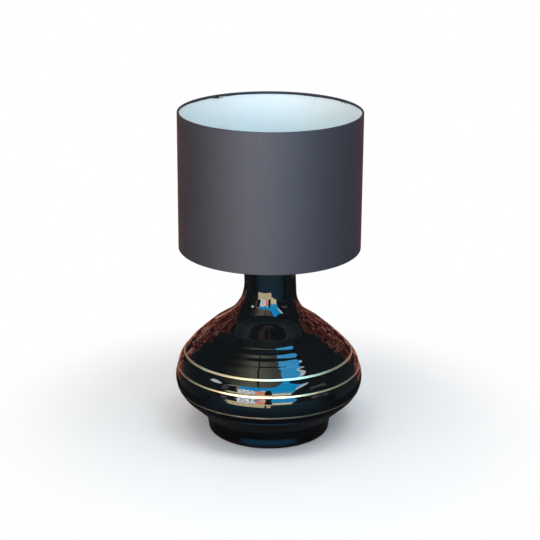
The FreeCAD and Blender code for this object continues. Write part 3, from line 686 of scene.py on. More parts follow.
def gold_line(name, level, dab_turn, seed):
    """A painted ring at a height, with its dab at an angle."""
    corners = []
    for share in (-1.0, -0.9, -0.45, 0.0, 0.45, 0.9, 1.0):
        height = LINE_PROUD if abs(share) < 1 else -LINE_PROUD
        corners.append((surface_radius(level + share * LINE_HALF) + height,
                        level + share * LINE_HALF))
    corners.append((surface_radius(level) - 3 * LINE_PROUD, level))
    bm = spun(outline(corners), LINE_STEPS)
    for vert in bm.verts:
        turn = around(vert.co)
        share = (vert.co.z - level) / LINE_HALF
        radius = math.hypot(vert.co.x, vert.co.y)
        height = radius - surface_radius(vert.co.z)
        off = (turn - dab_turn + math.pi) % FULL_TURN - math.pi
        dab = DAB_HEIGHT * math.exp(-0.5 * (off / DAB_WIDTH) ** 2)
        moved = level + share * (LINE_HALF + dab)
        moved += abs(share) * wander(turn, seed + (2.0 if share > 0 else 0.0))
        new_radius = surface_radius(moved) + height
        vert.co = (new_radius * math.cos(turn), new_radius * math.sin(turn), moved)
    warp(bm)
    return add_piece(name, bm, "lamp_base", "gold", [name.replace("painted", "gold")])


gold_line("painted_line_upper", 0.1400, math.radians(118), 0.4)
gold_line("painted_line_middle", 0.1150, math.radians(105), 1.7)
worn_line = gold_line("painted_line_lower", 0.0785, math.radians(131), 2.9)
worn_line.data.materials[0] = lustre_material("worn_lustre", (0.20, 0.11, 0.06),
                                              (0.34, 0.23, 0.14), (0.46, 0.35, 0.24))

# %% [markdown]
# ## The drum shade
#
# A hard-backed drum is a sheet of cloth laminated to a pale film and rolled into a cylinder.
# The cloth meets itself at the back in a glued lap, which shows as one straight raised edge.
# The cloth is spun as a thin closed shell and gets a UV map in metres for the weave. It is
# held stretched, and its flat size is its height by its way round plus the lap.

# %% Cover the drum
SHADE_RADIUS = 0.150
COVER = 0.0005
FILM = 0.0004
SHADE_LOW = 0.3198
SHADE_TOP = 0.5480
SHADE_STEPS = 192
ROLL_TOP = 0.00175
ROLL_LOW = 0.00205
LAP_TURN = math.radians(123)
LAP_WIDTH = 0.012
LAP_SWEEP = LAP_WIDTH / SHADE_RADIUS
LAP_START = LAP_TURN - LAP_SWEEP / 2
LAP_STEPS = 6

cover_low = SHADE_LOW + ROLL_LOW
cover_top = SHADE_TOP - ROLL_TOP
cover_bm = spun(outline([
    (SHADE_RADIUS - COVER, cover_low),
    (SHADE_RADIUS, cover_low),
    (SHADE_RADIUS, cover_top),
    (SHADE_RADIUS - COVER, cover_top),
]), SHADE_STEPS)
lay_cloth(cover_bm, SHADE_RADIUS)
cover = add_piece("cloth_cover", cover_bm, "shade", "shade_fabric", ["shade_cover"])

# %% [markdown]
# The lap on the outside is a strip of the same cloth, a third of a millimetre proud. Its
# section is drawn once, and its end face is extruded and turned by less than a degree, six
# times.

# %% The lap of the cover
def arc_strip(low, high, inner, outer, start, sweep, steps):
    """A strip of a rolled sheet between two heights, from a start angle through a sweep."""
    bm = outline([(inner, low), (outer, low), (outer, high), (inner, high)])
    bmesh.ops.contextual_create(bm, geom=bm.edges[:])
    bmesh.ops.rotate(bm, verts=bm.verts, cent=(0, 0, 0),
                     matrix=Matrix.Rotation(start, 3, "Z"))
    step = Matrix.Rotation(sweep / steps, 3, "Z")
    end = bm.faces[:]
    for index in range(steps):
        grown = bmesh.ops.extrude_face_region(bm, geom=end)["geom"]
        if index:
            bmesh.ops.delete(bm, geom=end, context="FACES_ONLY")
        bmesh.ops.rotate(bm, verts=only(bmesh.types.BMVert, grown), cent=(0, 0, 0),
                         matrix=step)
        end = only(bmesh.types.BMFace, grown)
    return bm


lap_bm = arc_strip(cover_low + 0.0002, cover_top - 0.0002, SHADE_RADIUS - 0.0001,
                   SHADE_RADIUS + 0.00035, LAP_START, LAP_SWEEP, LAP_STEPS)
lay_cloth(lap_bm, SHADE_RADIUS)
lap = add_piece("cloth_lap", lap_bm, "shade", "shade_fabric")

# %% [markdown]
# The lining is a film a little thinner than half a millimetre, glued to the cloth all over. It
# also ends in a lap, inside at the same place, with a narrow strip of film over the joint.
# The strip was cut by hand, so it tapers by a millimetre from top to bottom.

# %% Line the drum
film_bm = spun(outline([
    (SHADE_RADIUS - COVER - FILM, cover_low),
    (SHADE_RADIUS - COVER, cover_low),
    (SHADE_RADIUS - COVER, cover_top),
    (SHADE_RADIUS - COVER - FILM, cover_top),
]), SHADE_STEPS)
lining = add_piece("pale_lining", film_bm, "shade", "shade_lining", ["shade_liner"])

STRIP_LOW = cover_low + 0.0050
STRIP_TOP = cover_top - 0.0026
strip_bm = arc_strip(STRIP_LOW, STRIP_TOP, SHADE_RADIUS - 0.00135, SHADE_RADIUS - 0.00095,
                     LAP_START, LAP_SWEEP, LAP_STEPS)
for vert in strip_bm.verts:
    drop = (STRIP_TOP - vert.co.z) / (STRIP_TOP - STRIP_LOW)
    off = around(vert.co) - LAP_TURN
    twist = Matrix.Rotation(-0.09 * off * drop + 0.002 * math.sin(9 * drop), 3, "Z")
    vert.co = twist @ vert.co
add_piece("lining_strip", strip_bm, "shade", "shade_lining", ["shade_seam"])

# %% [markdown]
# ## Rolled hems
#
# At both ends a strip of the cloth is rolled round the wire ring and glued down inside on the
# film. The roll is a spun outline with rounded bends. The cut edge inside is never quite
# straight, so the spun ring's last row of points is moved up and down a little. At the back
# left the top hem has frayed, and its edge hangs down by almost two millimetres.

# %% Roll the hems
HEM = 0.0003
FRAYED_TURN = math.radians(125.4)
FRAYED_HALF = math.radians(4.6)
FRAYED_DROP = 0.0017


def hem_piece(name, edge, inward, roll, leg, replaced):
    """A hem rolled round one wire ring; inward is 1 at the bottom and -1 at the top."""
    film_face = SHADE_RADIUS - COVER - FILM
    inner = SHADE_RADIUS - 2 * roll
    level = edge + inward * roll
    corners = [
        (SHADE_RADIUS, level),
        (SHADE_RADIUS, edge, 0.9 * roll, 6),
        (inner, edge, 0.9 * roll, 6),
        (inner, level + inward * 0.4 * roll, 0.0005, 3),
        (film_face - HEM, level + inward * 1.5 * roll, 0.0005, 3),
        (film_face - HEM, level + inward * leg),
        (film_face, level + inward * leg),
        (film_face, level + inward * 1.55 * roll),
        (inner + HEM, level + inward * 0.35 * roll, 0.0003, 2),
        (inner + HEM, edge + inward * HEM, 0.7 * roll, 5),
        (SHADE_RADIUS - HEM, edge + inward * HEM, 0.7 * roll, 5),
        (SHADE_RADIUS - HEM, level),
    ]
    bm = spun(outline(corners), SHADE_STEPS)
    for vert in bm.verts:
        if abs(vert.co.z - (level + inward * leg)) < 1e-5:
            turn = around(vert.co)
            stray = 0.00025 * math.sin(5 * turn + leg * 900) + 0.0002 * math.sin(13 * turn)
            stray += 0.00015 * math.sin(37 * turn + 1.0) + 0.0001 * math.sin(61 * turn)
            if inward < 0:
                off = (turn - FRAYED_TURN) / FRAYED_HALF
                stray += FRAYED_DROP * max(0.0, 1.0 - off * off)
            vert.co.z += inward * stray
    lay_cloth(bm, SHADE_RADIUS)
    return add_piece(name, bm, "shade", "shade_fabric", replaced)


hem_top = hem_piece("rolled_hem_top", SHADE_TOP, -1, ROLL_TOP, 0.0030, ["top_hem"])
hem_low = hem_piece("rolled_hem_bottom", SHADE_LOW, 1, ROLL_LOW, 0.0050, ["bottom_hem"])

# %% [markdown]
# Where the cutter slipped, a few ends of yarn stick out of the hems, most of them where the
# top hem has frayed. Each is a disc, extruded step by step, that bends over as it goes and
# gets thinner to its tip.

# %% Loose ends of yarn
YARN_THICK = 0.00055
YARN_STEPS = 6


def yarn_end(bm, turn, radius, level, length, drop, side):
    """One bent, tapered yarn: it starts at the hem, goes up or down and leans sideways."""
    places = []
    for step in range(YARN_STEPS + 1):
        share = step / YARN_STEPS
        lean = side * length * 0.5 * share ** 2 / radius
        centre = Vector((radius * math.cos(turn + lean), radius * math.sin(turn + lean),
                         level + drop * length * (share - 0.3 * share ** 2)))
        places.append(Matrix.Translation(centre)
                      @ Matrix.Rotation(turn + math.radians(30), 4, "Z")
                      @ Matrix.Scale(1.0 - 0.6 * share, 4))
    disc = bmesh.ops.create_circle(bm, cap_ends=True, segments=6, radius=YARN_THICK,
                                   matrix=places[0])
    end = list({face for vert in disc["verts"] for face in vert.link_faces})
    for index, (before, after) in enumerate(zip(places, places[1:])):
        grown = bmesh.ops.extrude_face_region(bm, geom=end)["geom"]
        if index:
            bmesh.ops.delete(bm, geom=end, context="FACES_ONLY")
        bmesh.ops.transform(bm, verts=only(bmesh.types.BMVert, grown),
                            matrix=after @ before.inverted())
        end = only(bmesh.types.BMFace, grown)


INSIDE = SHADE_RADIUS - COVER - FILM - HEM - 0.0002
YARN_ENDS = (
    (123.1, INSIDE, 0.5432, 0.0046, -1, 1), (122.7, INSIDE, 0.5430, 0.0036, -1, 1),
    (121.6, INSIDE, 0.5430, 0.0030, -1, 1), (124.3, INSIDE, 0.5430, 0.0040, -1, 1),
    (125.0, INSIDE, 0.5431, 0.0034, -1, -1), (126.1, INSIDE, 0.5430, 0.0044, -1, 1),
    (127.4, INSIDE, 0.5430, 0.0030, -1, -1), (128.2, INSIDE, 0.5431, 0.0036, -1, 1),
    (129.6, INSIDE, 0.5430, 0.0030, -1, 1), (32.8, INSIDE, 0.5430, 0.0024, -1, 1),
    (34.3, INSIDE, 0.5430, 0.0032, -1, 1), (34.8, INSIDE, 0.5429, 0.0024, -1, -1),
    (36.6, INSIDE, 0.5430, 0.0030, -1, 1), (37.5, INSIDE, 0.5430, 0.0020, -1, -1),
    (-120.9, SHADE_RADIUS - 0.0016, 0.5474, 0.0016, 1, 1),
    (-75.5, SHADE_RADIUS - 0.0014, 0.5474, 0.0014, 1, -1),
    (-48.0, INSIDE, 0.3272, 0.0030, 1, 1), (170.0, INSIDE, 0.3272, 0.0034, 1, -1),
)
yarn_bm = bmesh.new()
for degrees, *rest in YARN_ENDS:
    yarn_end(yarn_bm, math.radians(degrees), *rest)
lay_cloth(yarn_bm, SHADE_RADIUS)
yarns = add_piece("yarn_ends", yarn_bm, "shade", "shade_fabric")

# %% [markdown]
# ## Threaded parts
#
# The lampholder's sleeve is a moulded tube with a coarse round thread, and two rings screw
# onto it to clamp the spider. The rings have ribs to grip. The hollow rod is threaded at its
# ends. A thread is made here from a plain turned piece with many rows of points: each point
# moves in or out by its height less its share of a turn, so the ridge climbs round the piece.

# %% Threads and grips
def threaded(bm, radius, low, high, pitch, depth):
    """Cuts a rounded thread into the points that lie on a radius between two heights."""
    for vert in bm.verts:
        reach = math.hypot(vert.co.x, vert.co.y)
        if abs(reach - radius) > 1e-6 or not low <= vert.co.z <= high:
            continue
        phase = (vert.co.z - low) / pitch - around(vert.co) / FULL_TURN
        wave = 0.5 - 0.5 * math.cos(phase * FULL_TURN)
        fade = min(1.0, (vert.co.z - low) / pitch, (high - vert.co.z) / pitch)
        vert.co.xy *= (reach - depth * fade * wave ** 0.7) / reach


def rows(radius, low, high, step):
    """Corners in a row up a radius, close enough for a thread."""
    count = round((high - low) / step)
    return [(radius, low + (high - low) * index / count) for index in range(count + 1)]


SLEEVE = 0.0196
sleeve_bm = spun(outline([
    (0.0155, 0.3330), (0.0192, 0.3330), (0.0192, 0.3265), (0.0210, 0.3265, 0.0004, 3),
    (0.0210, 0.3350, 0.0006, 3), *rows(SLEEVE, 0.3352, 0.3704, 0.0004),
    (0.0192, 0.3710, 0.0003, 2), (0.0170, 0.3710, 0.0005, 3), (0.0170, 0.3350),
    (0.0155, 0.3350),
]), 72)
threaded(sleeve_bm, SLEEVE, 0.3358, 0.3700, pitch=0.0028, depth=0.0007)
add_piece("threaded_sleeve", sleeve_bm, "lamp_base", "black_plastic", ["holder_sleeve"])


GRIP_BORE = 0.01965
GRIP_COLLAR = 0.0230
GRIP_RIM = 0.0285
GRIP_HEIGHT = 0.0060
GRIP_FLANGE = 0.0020


def gripped_ring(name, low, flange_low, replaced):
    """A ring with a flange on one side and a ribbed collar on the other."""
    top = low + GRIP_HEIGHT
    if flange_low:
        step = low + GRIP_FLANGE
        corners = [(GRIP_BORE, low, 0.0003, 2), (GRIP_RIM, low, 0.0007, 4),
                   (GRIP_RIM, step, 0.0007, 4), (GRIP_COLLAR, step, 0.0003, 2),
                   (GRIP_COLLAR, top, 0.0005, 3), (GRIP_BORE, top, 0.0004, 3)]
    else:
        step = top - GRIP_FLANGE
        corners = [(GRIP_BORE, low, 0.0004, 3), (GRIP_COLLAR, low, 0.0005, 3),
                   (GRIP_COLLAR, step, 0.0003, 2), (GRIP_RIM, step, 0.0007, 4),
                   (GRIP_RIM, top, 0.0007, 4), (GRIP_BORE, top, 0.0003, 2)]
    bm = spun(outline(corners), 288)
    for vert in bm.verts:
        reach = math.hypot(vert.co.x, vert.co.y)
        if 0.0222 < reach < 0.0232:
            dip = max(0.0, math.cos(48 * around(vert.co)))
            vert.co.xy *= (reach - 0.0005 * dip) / reach
        elif reach > 0.0280:
            dip = max(0.0, math.cos(72 * around(vert.co)) - 0.2)
            vert.co.xy *= (reach - 0.0003 * dip) / reach
    add_piece(name, bm, "lamp_base", "black_plastic", [replaced])


gripped_ring("grip_ring_lower", 0.3420, False, "lower_shade_ring")
gripped_ring("grip_ring_upper", 0.3504, True, "upper_shade_ring")

ROD = 0.0050
ROD_ROW = 0.00022
rod_bm = spun(outline([
    *rows(ROD, 0.0080, 0.0200, ROD_ROW), *rows(ROD, 0.2850, 0.3046, ROD_ROW),
    (0.0047, 0.3052), (0.0035, 0.3052, 0.0002, 2), (0.0035, 0.0079, 0.0002, 2), (0.0047, 0.0079),
]), 40)
for low, high in ((0.0082, 0.0200), (0.2850, 0.3044)):
    threaded(rod_bm, ROD, low, high, pitch=0.0010, depth=0.0004)
add_piece("screwed_rod", rod_bm, "lamp_base", "zinc_steel", ["threaded_rod"])

# %% [markdown]
# ## Soft washers and felt
#
# The felt ring was punched from a sheet and pressed on with glue, so its edges are rounded and
# it is nowhere quite even. The rubber cushion under the floor and the gasket on the lip are
# squeezed a little by their nuts, and bulge at the rim.

# %% Felt, cushion and gasket
FELT_BORE = 0.0929
FELT_MIDDLE = 0.0957
FELT_RIM = 0.0984
felt_bm = spun(outline([
    (FELT_BORE, 0.0, 0.0005, 3), (FELT_MIDDLE, 0.0), (FELT_RIM, 0.0, 0.0005, 3),
    (FELT_RIM, FELT, 0.0004, 3), (FELT_MIDDLE, FELT), (FELT_BORE, FELT, 0.0004, 3),
]), 240)
for vert in felt_bm.verts:
    uneven = mathutils.noise.noise(vert.co * 260.0)
    vert.co.xy *= 1.0 + 0.0012 * uneven
    if vert.co.z < 0.0006:
        vert.co.z += 0.00012 * (1.0 + uneven)
add_piece("pressed_felt_ring", felt_bm, "lamp_base", "felt", ["felt_ring"])


def squeezed_washer(name, bore, rim, low, high, bulge, replaced):
    """A rubber washer whose rim bulges between two plates."""
    middle = (low + high) / 2
    bm = spun(outline([
        (bore, low), (rim - bulge, low, 0.0002, 2), (rim, middle, 0.0006, 5),
        (rim - bulge, high, 0.0002, 2), (bore, high),
    ]), 96)
    add_piece(name, bm, "lamp_base", "rubber_part", [replaced])


squeezed_washer("rubber_cushion", 0.0054, 0.0200, 0.0175, 0.0195, 0.0005, "floor_cushion")
squeezed_washer("rubber_gasket", 0.0385, 0.0415, 0.2865, 0.2875, 0.0003, "neck_gasket")

# %% [markdown]
# ## Camera
#
# The camera stands where the photographer stood: a little over two metres in front, at the
# height of a person looking down on the lamp, with a long lens. The small roll is kept,
# because the picture leans by a third of a degree.

# %% Camera
camera_data = bpy.data.cameras.new("camera")
camera_data.sensor_width = 36.0
camera_data.lens = 102.5
camera_data.clip_end = 50.0
camera = bpy.data.objects.new("camera", camera_data)
bpy.context.scene.collection.objects.link(camera)
bpy.context.scene.camera = camera
CAMERA_PLACE = Vector((0.0008, -2.4126, 1.0917))
PITCH = math.radians(18.62)
ROLL = math.radians(0.34)
camera.matrix_world = (Matrix.Translation(CAMERA_PLACE)
                       @ Matrix.Rotation(math.pi / 2 - PITCH, 4, "X")
                       @ Matrix.Rotation(ROLL, 4, "Z"))
print("camera %.2f m in front, %.2f m up" % (-CAMERA_PLACE.y, CAMERA_PLACE.z))

# %% [markdown]
# ## Floor and surround
#
# The lamp stands on a plain white floor that runs on into a white surround. Close to the lamp
# the floor is ordinary white paint, so the lamp keeps its shadow; further out it turns into an
# even white, for the camera and for what the glaze and the metals mirror.

# %% Floor
def seen_rays(tree):
    """1 for what the camera sees directly or in a reflection, 0 for light on the lamp."""
    path = tree.nodes.new("ShaderNodeLightPath")
    seen = sums(tree, "MAXIMUM", path.outputs["Is Camera Ray"], path.outputs["Is Glossy Ray"])
    return sums(tree, "MAXIMUM", seen, path.outputs["Is Transmission Ray"])


def add_stage(name, bm, material):
    """A piece of the studio, not of the lamp."""
    piece = new_object(name, bm, material)
    print("%-22s %6d faces in the studio" % (name, len(piece.data.polygons)))
    return piece


FLOOR_NEAR = 0.18
FLOOR_FAR = 0.55
FLOOR_RIM = 14.0
floor_material = bpy.data.materials.new("white_floor")
floor_material.use_nodes = True
tree = floor_material.node_tree
paint = tree.nodes["Principled BSDF"]
paint.inputs["Roughness"].default_value = 0.9
paint.inputs["Specular IOR Level"].default_value = 0.0
mottle = noise(tree, place(tree), 5.0)
tree.links.new(ramp(tree, mottle, (0.3, (0.93, 0.93, 0.93)), (0.7, (0.95, 0.95, 0.95))),
               paint.inputs["Base Color"])
glow = node(tree, "ShaderNodeEmission", Strength=1.0)
away = node(tree, "ShaderNodeVectorMath", operation="LENGTH", Vector=place(tree))
spread = share_of(tree, away.outputs["Value"], FLOOR_NEAR, FLOOR_FAR,
                  interpolation_type="SMOOTHSTEP")
glowing_share = sums(tree, "MULTIPLY", spread, seen_rays(tree))
tree.links.new(mix_shaders(tree, glowing_share, paint.outputs[0], glow.outputs[0]),
               tree.nodes["Material Output"].inputs["Surface"])
floor_bm = bmesh.new()
bmesh.ops.create_circle(floor_bm, cap_ends=True, segments=96, radius=FLOOR_RIM)
add_stage("floor", floor_bm, floor_material)

# %% [markdown]
# The surround does the same: it lights the lamp at half strength, slightly blue, and is plain
# white for the camera and in every mirror.

# %% Surround
world = bpy.data.worlds.new("surround")
bpy.context.scene.world = world
world.use_nodes = True
tree = world.node_tree
lit = tree.nodes["Background"]
lit.inputs["Color"].default_value = (0.97, 0.98, 1.0, 1.0)
lit.inputs["Strength"].default_value = 0.5
shown = node(tree, "ShaderNodeBackground", Strength=1.0)
shown.inputs["Color"].default_value = (1.0, 1.0, 1.0, 1.0)
tree.links.new(mix_shaders(tree, seen_rays(tree), lit.outputs[0], shown.outputs[0]),
               tree.nodes["World Output"].inputs["Surface"])
print("the surround lights the lamp at strength", lit.inputs["Strength"].default_value)

# %% [markdown]
# ## Cards for a black mirror
#
# A black mirror shows its surroundings more than itself. In an empty white room it would look
# grey, so a photographer hangs dark cards round it, out of the picture, and leaves only the
# shapes that should show. Here the cards are seen by reflections alone. Close behind the lamp
# to both sides they are a dull red-brown, which gives the shoulder its warm edges. In front
# they are paper cut-outs of a sunny yard: sand, low walls, a wide eave and the sky beside it.
# A glaze mirrors only a few hundredths of the light, so the cards glow far brighter than 1.
#
# An angle round the lamp is 0 towards the camera and grows to the right.

# %% Hanging a card
DOME_CENTRE = 0.12


def wall_point(turn, reach, height):
    """A point at an angle round the lamp, a way out from it and a height."""
    return Vector((reach * math.sin(turn), -reach * math.cos(turn), height))


def floor_point(turn, height, reach):
    """The same for a shape that lies flat: an angle, its own height and a way out."""
    return wall_point(turn, reach, height)


def dome_point(turn, reach, rise):
    """A point of a dome round the lamp, at an angle round it and an angle up."""
    return wall_point(turn, reach * math.cos(rise), DOME_CENTRE + reach * math.sin(rise))


def only_mirrored(piece):
    """Shows a piece of the studio in reflections alone."""
    piece.visible_camera = False
    piece.visible_diffuse = False
    piece.visible_transmission = False
    piece.visible_shadow = False


def card(name, turns, heights, reach, material, point=wall_point):
    """A curved card between two angles and two heights."""
    bm = bmesh.new()
    bmesh.ops.create_grid(bm, x_segments=48, y_segments=8, size=0.5)
    for vert in bm.verts:
        turn = turns[0] + (vert.co.x + 0.5) * (turns[1] - turns[0])
        height = heights[0] + (vert.co.y + 0.5) * (heights[1] - heights[0])
        vert.co = point(math.radians(turn), reach, height)
    only_mirrored(add_stage(name, bm, material))


def cut_out(name, material, reach, corners, place_at=None):
    """A paper shape with torn edges. Corners are degrees round and degrees up a dome, or
    degrees and metres where place_at is given, and then the edges are clean."""
    bm = bmesh.new()
    bm.faces.new([bm.verts.new((*corner, 0.0)) for corner in corners])
    bmesh.ops.triangulate(bm, faces=bm.faces[:], ngon_method="EAR_CLIP")
    bmesh.ops.subdivide_edges(bm, edges=bm.edges[:], cuts=5, use_grid_fill=True)
    layer = bm.loops.layers.uv.new("card")
    for face in bm.faces:
        for loop in face.loops:
            loop[layer].uv = loop.vert.co.xy
    for vert in bm.verts:
        turn, rise, _ = vert.co
        if place_at:
            vert.co = place_at(math.radians(turn), reach, rise)
        else:
            tear = mathutils.noise.noise_vector(vert.co * 0.6) * 0.7
            vert.co = dome_point(math.radians(turn + tear.x), reach, math.radians(rise + tear.y))
    only_mirrored(add_stage(name, bm, material))


# %% [markdown]
# A card has an emission shader alone. Some are mottled in patches, some go from one colour to
# another across the yard, and one is cut into flat stripes. Torn paper is never quite even, so
# the plain ones are slightly mottled too.

# %% Colours of the cards
def glowing(name):
    """A material with an emission shader alone, its tree and the socket of its colour."""
    material = bpy.data.materials.new(name)
    material.use_nodes = True
    tree = material.node_tree
    tree.nodes.remove(tree.nodes["Principled BSDF"])
    glow = tree.nodes.new("ShaderNodeEmission")
    tree.links.new(glow.outputs[0], tree.nodes["Material Output"].inputs["Surface"])
    return material, tree, glow.inputs["Color"]


def patchy(name, size, *stops):
    """Card that glows in a few mottled colours, in patches of a size in metres."""
    material, tree, colour = glowing(name)
    tree.links.new(ramp(tree, noise(tree, place(tree), 1.0 / size, 4.0, 0.6), *stops), colour)
    return material


def graded(name, axis, low, high, mottle, *stops):
    """Card whose colour changes from one angle in degrees to another, with mottles on top."""
    material, tree, colour = glowing(name)
    where = cloth_place(tree)
    angle = node(tree, "ShaderNodeSeparateXYZ", Vector=where).outputs[axis]
    clouds = sums(tree, "SUBTRACT", noise(tree, where, 0.35, 4.0, 0.65), 0.5)
    amount = sums(tree, "ADD", share_of(tree, angle, low, high),
                  sums(tree, "MULTIPLY", clouds, mottle))
    tree.links.new(ramp(tree, amount, *stops), colour)
    return material


def plain(name, dark, light):
    """Card of one colour, slightly mottled."""
    return graded(name, "X", -900, 900, 1.2, (0.3, dark), (0.7, light))


def striped(name, *stops):
    """Card of upright stripes in a few flat colours, as a row of houses far away."""
    material, tree, colour = glowing(name)
    shades = ramp(tree, noise(tree, cloth_place(tree), 0.25, 2.0, 0.5, stretch=(1.0, 0.3, 1.0)),
                  *stops)
    shades.node.color_ramp.interpolation = "CONSTANT"
    tree.links.new(shades, colour)
    return material


dark_card = patchy("dark_card", 0.5, (0.35, (0.06, 0.08, 0.09)), (0.65, (0.16, 0.17, 0.17)))
brown_card = patchy("brown_card", 0.02, (0.40, (0.05, 0.018, 0.018)),
                    (0.5, (0.42, 0.085, 0.07)), (0.57, (0.85, 0.23, 0.17)),
                    (0.66, (1.9, 1.2, 0.9)))
gap_card = plain("gap_card", (0.015, 0.02, 0.025), (0.05, 0.045, 0.045))
top_card = patchy("top_card", 0.7, (0.42, (0.08, 0.07, 0.08)), (0.58, (0.60, 0.46, 0.46)))
sky = graded("sky_card", "Y", 0, 80, 0.05, (0.0, (4.0, 7.5, 10.5)), (0.16, (0.9, 6.6, 12.5)),
             (0.28, (0.05, 6.2, 13.5)), (0.6, (0.25, 6.4, 13.8)), (0.85, (1.6, 7.8, 14.5)))
eave = graded("eave_card", "X", -90, 30, 0.10, (0.10, (0.1, 0.1, 0.1)), (0.25, (0.4, 0.4, 0.3)),
              (0.38, (1.3, 1.3, 0.95)), (0.52, (2.5, 2.4, 1.8)), (0.70, (2.0, 1.95, 1.5)),
              (0.90, (1.1, 1.15, 1.05)))
sand = plain("sand_card", (9.6, 8.1, 4.8), (15.6, 12.8, 8.2))
cream = plain("cream_card", (13.0, 11.5, 7.0), (17.0, 15.5, 11.0))
pale = plain("pale_card", (9.0, 10.0, 10.5), (13.0, 14.5, 15.5))
grey_wall = plain("grey_wall_card", (3.2, 3.1, 2.9), (7.0, 7.4, 7.4))
dim_wall = plain("dim_wall_card", (0.8, 0.75, 0.7), (1.8, 1.75, 1.6))
house_row = striped("house_row_card", (0.30, (1.5, 1.5, 1.6)), (0.40, (9.0, 8.0, 7.0)),
                    (0.46, (21.0, 23.0, 25.0)), (0.55, (5.0, 7.5, 10.0)),
                    (0.60, (16.0, 7.0, 4.5)), (0.66, (22.0, 23.0, 23.0)))
orange_wall = plain("orange_wall_card", (13.0, 3.2, 1.8), (24.0, 8.0, 4.8))

# %% [markdown]
# Now the cards go up, from far to near: first the dark ones all round, then the sky with the
# eave over it, the low walls and roofs in front of it, and the sunny floor of the yard last.
# Each corner is an angle round the lamp and an angle up from it; in the last three shapes the
# second number is a distance or a height in metres.

# %% Hang the cards
card("rear_card", (165, 195), (0.17, 0.95), 0.36, dark_card)
card("rear_right_card", (113, 165), (0.17, 0.95), 0.36, brown_card)
card("rear_left_card", (195, 247), (0.17, 0.95), 0.36, brown_card)
card("rear_gap_card", (113, 247), (0.135, 0.17), 0.362, gap_card)
card("rear_low_card", (113, 247), (0.015, 0.135), 0.36, brown_card)
card("right_card", (70, 113), (0.0, 0.95), 0.36, dark_card)
card("left_card", (247, 290), (0.0, 0.95), 0.36, dark_card)
card("dark_wall_card", (0, 360), (0.0, 2.4), 3.45, dark_card)
card("dark_ceiling_card", (0, 360), (math.radians(20), math.radians(82)), 3.5, dark_card,
     dome_point)
card("top_card", (0, 360), (math.radians(80), math.radians(90)), 3.45, top_card, dome_point)
cut_out("sky", sky, 3.3, [
    (-37, 0), (-37, 40), (20, 70), (42, 68.6), (50, 67.3), (62, 66), (76, 62), (72, 58), (71, 51),
    (52, 51.5), (42, 51), (34, 49.5), (33, 45), (38, 41), (48, 37), (57, 35), (50, 31),
    (42, 27), (35, 22), (31, 10), (26, 0)])
cut_out("eave", eave, 3.2, [
    (-95, 36), (-60, 32), (-38, 31), (-12, 34), (6, 35), (11, 38), (17, 43), (22, 48),
    (25, 52), (24, 56), (14, 57.5), (11, 60), (15, 62), (20, 63.5), (26, 66), (28, 70),
    (-5, 70.5), (-44, 66.8), (-50, 67), (-95, 64)])
cut_out("post", dark_card, 3.15, [
    (-25, 76), (-19, 56), (-15, 44), (-13.5, 33), (-12, 33), (-13, 44), (-16.5, 56), (-22, 76)])
cut_out("gable", pale, 3.2, [
    (33, 21), (36, 27), (42, 33), (50, 36), (58, 36.5), (52, 32.5), (45, 29), (39, 25),
    (36, 21)])
cut_out("ridge", pale, 3.2, [(50, 51.5), (60, 53), (73, 54.5), (72, 51), (58, 51)])
cut_out("roof_light_left", pale, 3.2, [
    (-79, 20), (-76, 27), (-68, 28), (-61, 25), (-64, 21), (-72, 19)])
cut_out("roof_light_near", grey_wall, 3.2, [
    (-56, 25), (-50, 29), (-42, 31), (-39, 28), (-46, 26)])
cut_out("pillar", grey_wall, 3.2, [(-40, 12), (-40, 31), (-36.5, 31), (-36.5, 12)])
cut_out("shed", dim_wall, 3.2, [(-58, 4), (-58, 24), (-50, 24), (-50, 4)])
cut_out("far_shed", dim_wall, 3.2, [(52, 10), (52, 20), (74, 21), (74, 10), (64, 14)])
cut_out("house_row", house_row, 3.2, [
    (-37, 0), (-37, 22), (-30, 21), (-25, 20.5), (-15, 19), (-15, 0)])
cut_out("orange_wall", orange_wall, 3.15, [(-16, 0), (-15, 17.5), (-4, 19), (-4, 0)])
cut_out("white_roof", pale, 3.12, [(-11, 17.5), (-9, 22), (-4, 23), (-3.5, 18)])
cut_out("gate_post", dark_card, 3.05, [
    (-4.5, -3), (-4, 14), (-3, 23), (2.5, 24), (4, 14), (4.5, -3)])
cut_out("far_yard", sand, 3.25, [(-50, -4), (-50, 1), (-37, 1.5), (5, 1.5), (5, -4)])
cut_out("far_sand", cream, 3.15, [(4, -3), (4, 6), (16, 8), (27, 6), (27, -3)])
cut_out("yard", sand, 0.0008, [
    (-52, 1.3), (-48, 3.3), (28, 3.3), (26, 2.2), (6, 1.9), (4, 1.25), (-20, 1.4)], floor_point)
cut_out("near_sand", sand, 0.45, [
    (-43, 0.046), (-37, 0.026), (-31, 0.024), (-21, 0.036), (-13, 0.026), (-4.2, 0.020),
    (-4.0, 0.085), (-40, 0.080)], wall_point)
cut_out("near_sand_strip", sand, 0.45, [
    (-2.2, 0.018), (1.7, 0.016), (1.9, 0.085), (-2.2, 0.085)], wall_point)

# %% [markdown]
# A large card lies on the floor round the foot. In front it is bright blue in a narrow band
# close to the foot, which mirrors it, dark under the belly as a painted shadow, and blue-green
# further out. It fades to dark at both sides, and the narrow band fades first.

# %% Floor card
def flat_rings(reaches, height):
    """A flat card round the lamp, with an edge loop at each reach from its axis."""
    bm = bmesh.new()
    loops = []
    for reach in reaches:
        ring = bmesh.ops.create_circle(bm, segments=96, radius=reach)["verts"]
        loops.append(list(dict.fromkeys(edge for vert in ring for edge in vert.link_edges)))
    for inner, outer in zip(loops, loops[1:]):
        bmesh.ops.bridge_loops(bm, edges=inner + outer)
    bmesh.ops.translate(bm, verts=bm.verts, vec=(0.0, 0.0, height))
    return bm


